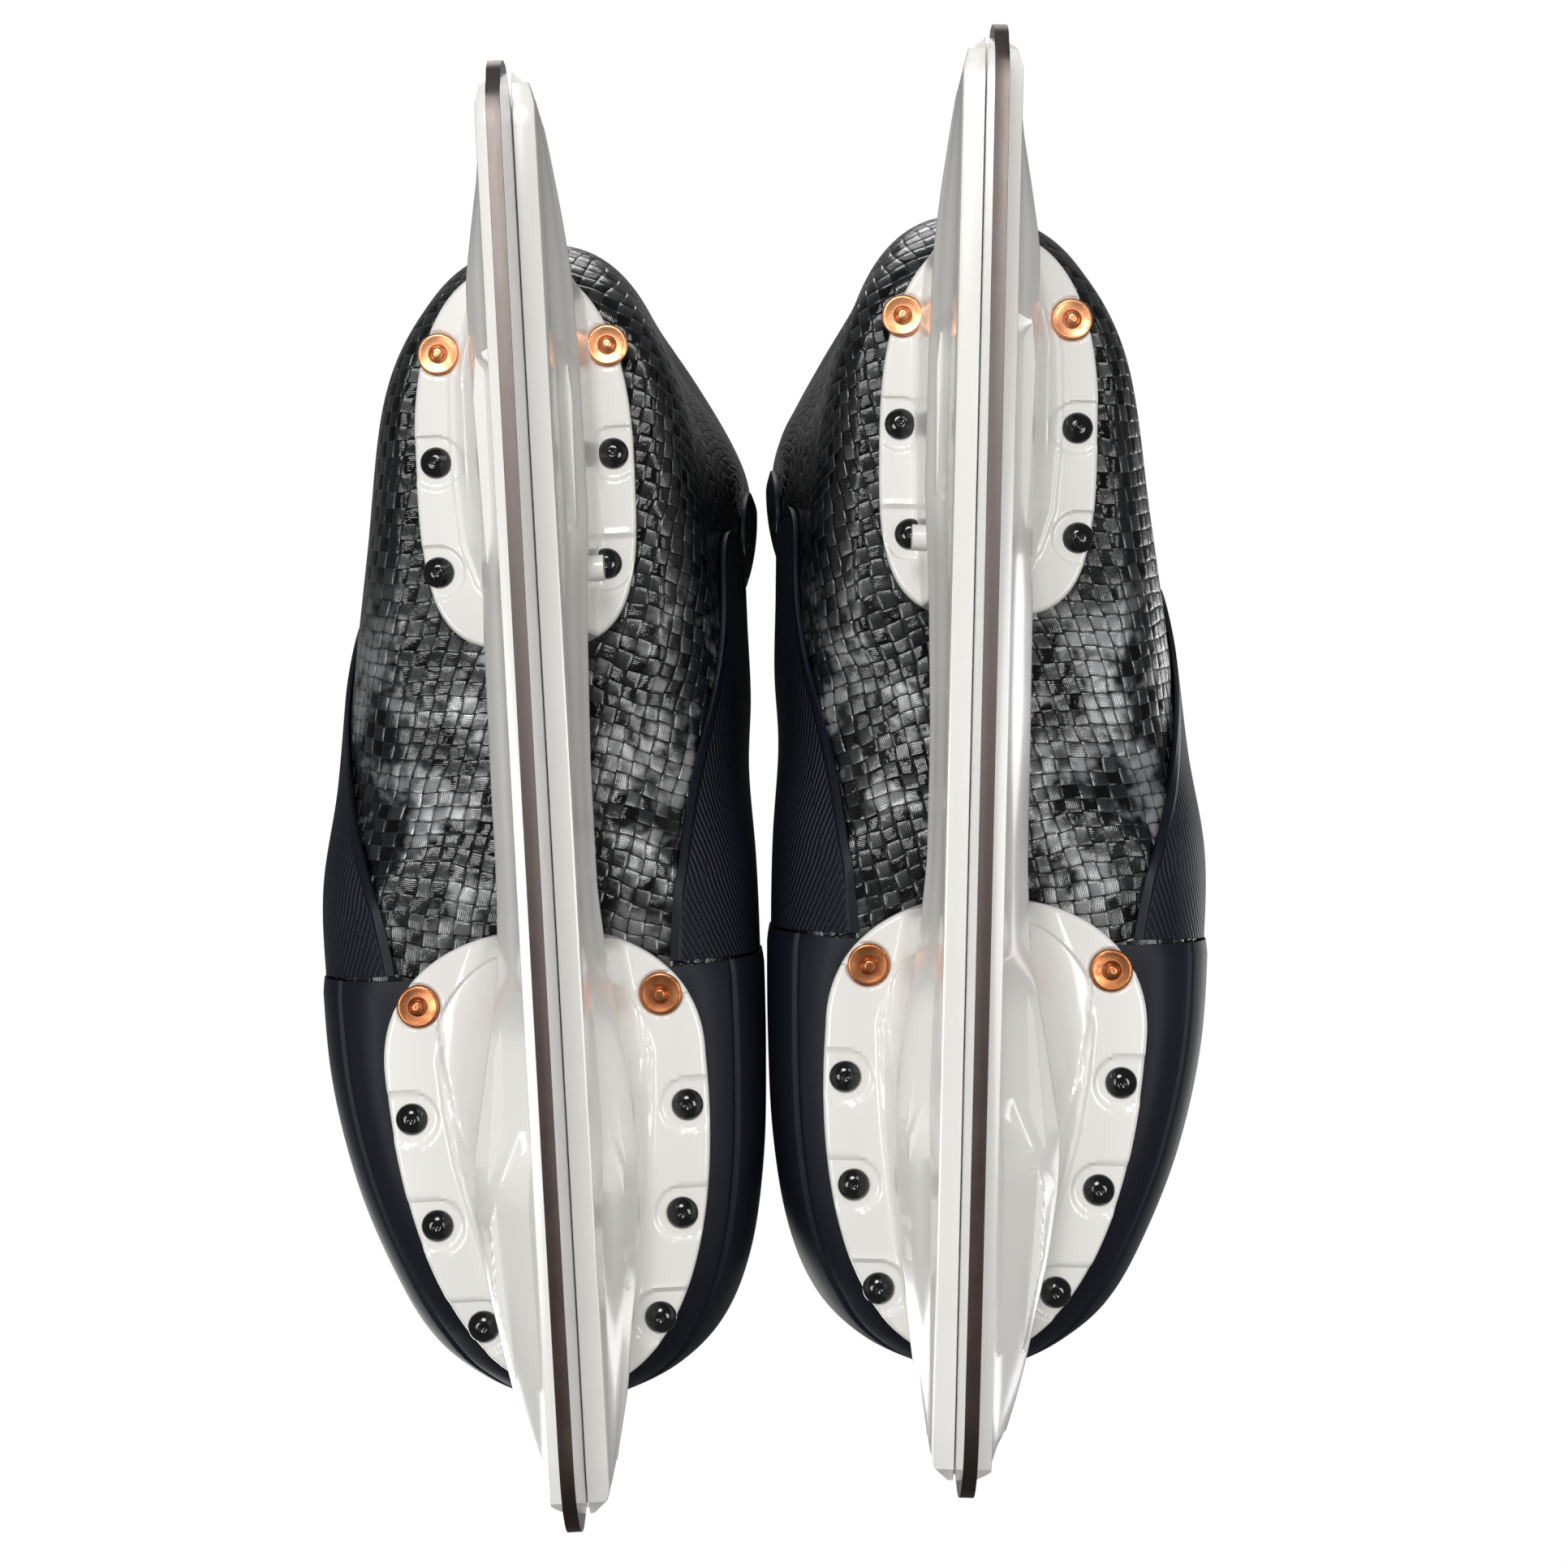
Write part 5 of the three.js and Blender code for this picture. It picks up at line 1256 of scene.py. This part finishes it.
class SKATE_OT_runner(bpy.types.Operator):
    """Steel runner with a hollow-ground running surface and eased edges"""
    bl_idname = "skate.runner"
    bl_label = "Runner"

    def execute(self, context):
        half = 148
        lower_y = np.linspace(-137, 139.5, 150)
        rise = np.maximum(0, np.abs(lower_y) - 30) ** 2 / 6600
        toe = [(-147, 15), (-146.9, 12.6), (-146.4, 10.5), (-145.3, 8.4), (-143.6, 6.5),
               (-141.6, 5.0), (-139.4, 3.6)]
        rise += (np.maximum(0, -lower_y - 128) ** 2 * 0.012
                 + np.maximum(0, lower_y - 132) ** 2 * 0.02)
        heel = [(142.2, 5.0), (144.3, 6.0), (146.2, 7.9), (147.4, 10.2), (147.9, 12.6),
                (half, 15.5)]
        upper = [(143.5, 22), (136, 29), (65, 29), (65, 44.4), (53.4, 44.4), (53.4, 42.4),
                 (56, 38.4), (56, 29)]
        dip = math.asin(1.5 / 4.2)
        boss = [(-135.5 + 4.2 * math.cos(a), 30.5 + 4.2 * math.sin(a))
                for a in np.linspace(-dip, math.pi + dip, 18)]
        outline = np.array(toe + list(zip(lower_y, rise)) + heel + upper + boss + [(-144, 25)])
        outline = np.concatenate([outline, outline[:1]])
        low = np.zeros(len(outline))
        low[len(toe):len(toe) + len(lower_y)] = 1
        ring = []
        for x, lift in ((-1.45, 0.1), (-1.37, 0.0), (-0.7, 0.05), (0, 0.075), (0.7, 0.05),
                        (1.37, 0.0), (1.45, 0.1)):
            ring.append(np.stack([np.full(len(outline), x), outline[:, 0],
                                  outline[:, 1] + lift * low], -1))
        piece = shaped_grid("runner", np.stack(ring))
        closed(piece)
        mesh = piece.data
        mesh.materials.append(finish("steel"))
        mesh.materials.append(finish("running"))
        for face in mesh.polygons:
            if abs(face.normal.x) < 0.5 and face.normal.z < -0.3 and face.center.z < 12:
                face.material_index = 1
        smooth(piece, 30)
        on_both_skates(piece, "steel_runner", body="runner", replaces=["runner"])
        return {"FINISHED"}


class SKATE_OT_hardware(bpy.types.Operator):
    """Finishes for the release trigger, its pin and its coil"""
    bl_idname = "skate.hardware"
    bl_label = "Release hardware"

    def execute(self, context):
        for prefix, _ in SIDES:
            for node, name in (("release_trigger", "lever"), ("trigger_pin", "plain_steel"),
                               ("trigger_spring", "plain_steel")):
                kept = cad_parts[f"{prefix}_{node}"]
                for place in kept.material_slots:
                    place.link = "OBJECT"
                    place.material = finish(name)
        return {"FINISHED"}


# ---------------------------------------------------------------- stage
class SKATE_OT_stage(bpy.types.Operator):
    """Pale floor, soft studio light and the camera under the skates"""
    bl_idname = "skate.stage"
    bl_label = "Stage"

    def execute(self, context):
        settings = context.scene.skate_stage
        deselect()
        bpy.ops.object.camera_add(location=(-0.00496, (PAIR_SHIFT - 0.58) * MM, -0.430))
        camera = context.object
        camera.matrix_world = Matrix.Translation(camera.location) \
            @ Matrix.Rotation(math.radians(0.9), 4, "Z") @ Matrix.Rotation(math.pi, 4, "Y")
        camera.data.sensor_width = 36
        camera.data.lens = 36 * 2722 / 1932
        camera.data.clip_start = 0.01
        context.scene.camera = camera

        deselect()
        bpy.ops.mesh.primitive_grid_add(x_subdivisions=2, y_subdivisions=2, size=8,
                                        location=(0, 0, -0.0006))
        floor = context.object
        floor.name = "studio_floor"
        material, tree, shader = begin("Matt studio floor", Roughness=0.85)
        at = object_space(tree)
        tree.links.new(blend(tree, noise(tree, at, 300, 2), "#E9E8E6", "#E3E2E0"),
                       shader.inputs["Base Color"])
        clear = add(tree, "BsdfTransparent")
        one_way = add(tree, "MixShader", None, i0=add(tree, "NewGeometry").outputs["Backfacing"],
                      i1=shader.outputs[0], i2=clear.outputs[0])
        tree.links.new(one_way.outputs[0], tree.nodes["Material Output"].inputs["Surface"])
        floor.data.materials.append(material)
        floor.visible_shadow = False
        floor.visible_diffuse = False
        floor.visible_glossy = False

        world = bpy.data.worlds.new("Studio")
        world.use_nodes = True
        context.scene.world = world
        ground = world.node_tree.nodes["Background"]
        ground.inputs["Color"].default_value = (1, 1, 1, 1)
        seen = add(world.node_tree, "LightPath").outputs["Is Camera Ray"]
        world.node_tree.links.new(
            maths(world.node_tree, "MULTIPLY_ADD", seen, 1 - settings.world_light,
                  settings.world_light), ground.inputs["Strength"])
        context.scene.view_settings.view_transform = "Standard"

        target = Vector((0, 0, 0.06))
        for name, place, size, power in (
                ("Underside key", (0.15, 0.65, -1.0), 0.5, settings.key_power),
                ("Underside fill right", (-0.62, -0.05, -0.9), 0.5, settings.fill_power),
                ("Underside fill left", (0.62, -0.15, -0.9), 0.5, settings.fill_power),
                ("Overhead left", (0.9, -0.9, 1.3), 1.0, settings.top_power),
                ("Overhead right", (-1.1, -0.2, 1.1), 0.9, settings.top_power * 0.7),
                ("Rim", (0.1, 1.3, 0.9), 0.8, settings.top_power * 0.6)):
            bpy.ops.object.light_add(type="AREA", location=place)
            lamp = context.object
            lamp.name = name
            lamp.data.shape = "DISK"
            lamp.data.size = size
            lamp.data.energy = power
            lamp.rotation_euler = (Vector(place) - target).to_track_quat("Z", "Y").to_euler()
            lamp.visible_camera = False
        return {"FINISHED"}


# ---------------------------------------------------------------- settings and panel
def colour_text(name, description, value):
    return bpy.props.StringProperty(name=name, description=description, default=value)


class SkateFinishes(bpy.types.PropertyGroup):
    """Colours and pattern sizes, the colours as sRGB hex values"""
    holder_white: colour_text("Holder white", "Main colour of the holders", "#E9E7E3")
    holder_shade: colour_text("Holder shade", "Second tone of the holders", "#E1DED8")
    # The two carbon colours are the painted shade and the painted light of the tow checker.
    carbon_dark: colour_text("Carbon dark", "Tows that turn away from the light", "#020203")
    carbon_light: colour_text("Carbon light", "Tows that catch the light", "#15171A")
    navy: colour_text("Navy", "Toe caps and side panels", "#070C18")
    navy_light: colour_text("Light navy", "Second tone of the toe caps", "#0A0F1B")
    edge_dark: colour_text("Dark edge", "Running surface at the toe", "#4A403E")
    # The heel colour of the running surface is lighter as a painted reflection.
    edge_heel_painted_reflection: colour_text("Light edge", "Running surface at the heel", "#6F6865")
    copper_red: colour_text("Red copper", "Rivets at the toe", "#BE7A50")
    copper_bright: colour_text("Bright copper", "Rivets at the heel", "#EBA678")
    enamel: colour_text("Enamel", "Black rivets and eyelets", "#08080A")
    tow_width: bpy.props.FloatProperty(name="Tow width", description="Width of a carbon tow in mm",
                                       default=3.5, min=1, max=8)
    rib_pitch: bpy.props.FloatProperty(name="Rib pitch", description="Spacing of the ribs in mm",
                                       default=1.1, min=0.5, max=4)


class SkateStage(bpy.types.PropertyGroup):
    """Light levels"""
    world_light: bpy.props.FloatProperty(name="World light", description="Strength of the surround",
                                         default=0.16, min=0, max=3)
    key_power: bpy.props.FloatProperty(name="Key", description="Power of the key light in watts",
                                       default=8.8, min=0, max=100)
    fill_power: bpy.props.FloatProperty(name="Fill", description="Power of the fill in watts",
                                        default=5, min=0, max=100)
    top_power: bpy.props.FloatProperty(name="Overhead", description="Power of each overhead light",
                                       default=10, min=0, max=100)


OPERATORS = (SKATE_OT_stage, SKATE_OT_holder, SKATE_OT_rivets, SKATE_OT_runner, SKATE_OT_hardware,
             SKATE_OT_shell, SKATE_OT_toe_cap, SKATE_OT_side_panels, SKATE_OT_facings,
             SKATE_OT_liner, SKATE_OT_tongue, SKATE_OT_tendon_guard)


class SKATE_PT_sidebar(bpy.types.Panel):
    """Lists the skates' pieces and settings"""
    bl_label = "Hockey skates"
    bl_idname = "SKATE_PT_sidebar"
    bl_space_type = "VIEW_3D"
    bl_region_type = "UI"
    bl_category = "Skates"

    def draw(self, context):
        for group in (context.scene.skate_finishes, context.scene.skate_stage):
            box = self.layout.box()
            for name in group.__annotations__:
                box.prop(group, name)
        for operator in OPERATORS:
            self.layout.operator(operator.bl_idname)


CLASSES = (SkateFinishes, SkateStage) + OPERATORS + (SKATE_PT_sidebar,)


def register():
    for cls in CLASSES:
        bpy.utils.register_class(cls)
    bpy.types.Scene.skate_finishes = bpy.props.PointerProperty(type=SkateFinishes)
    bpy.types.Scene.skate_stage = bpy.props.PointerProperty(type=SkateStage)


def unregister():
    del bpy.types.Scene.skate_stage
    del bpy.types.Scene.skate_finishes
    for cls in reversed(CLASSES):
        bpy.utils.unregister_class(cls)


def main():
    register()
    for operator in OPERATORS:
        group, name = operator.bl_idname.split(".")
        if getattr(getattr(bpy.ops, group), name)() != {"FINISHED"}:
            raise RuntimeError(f"{operator.bl_label} wasn't made")


if __name__ == "__main__":
    main()
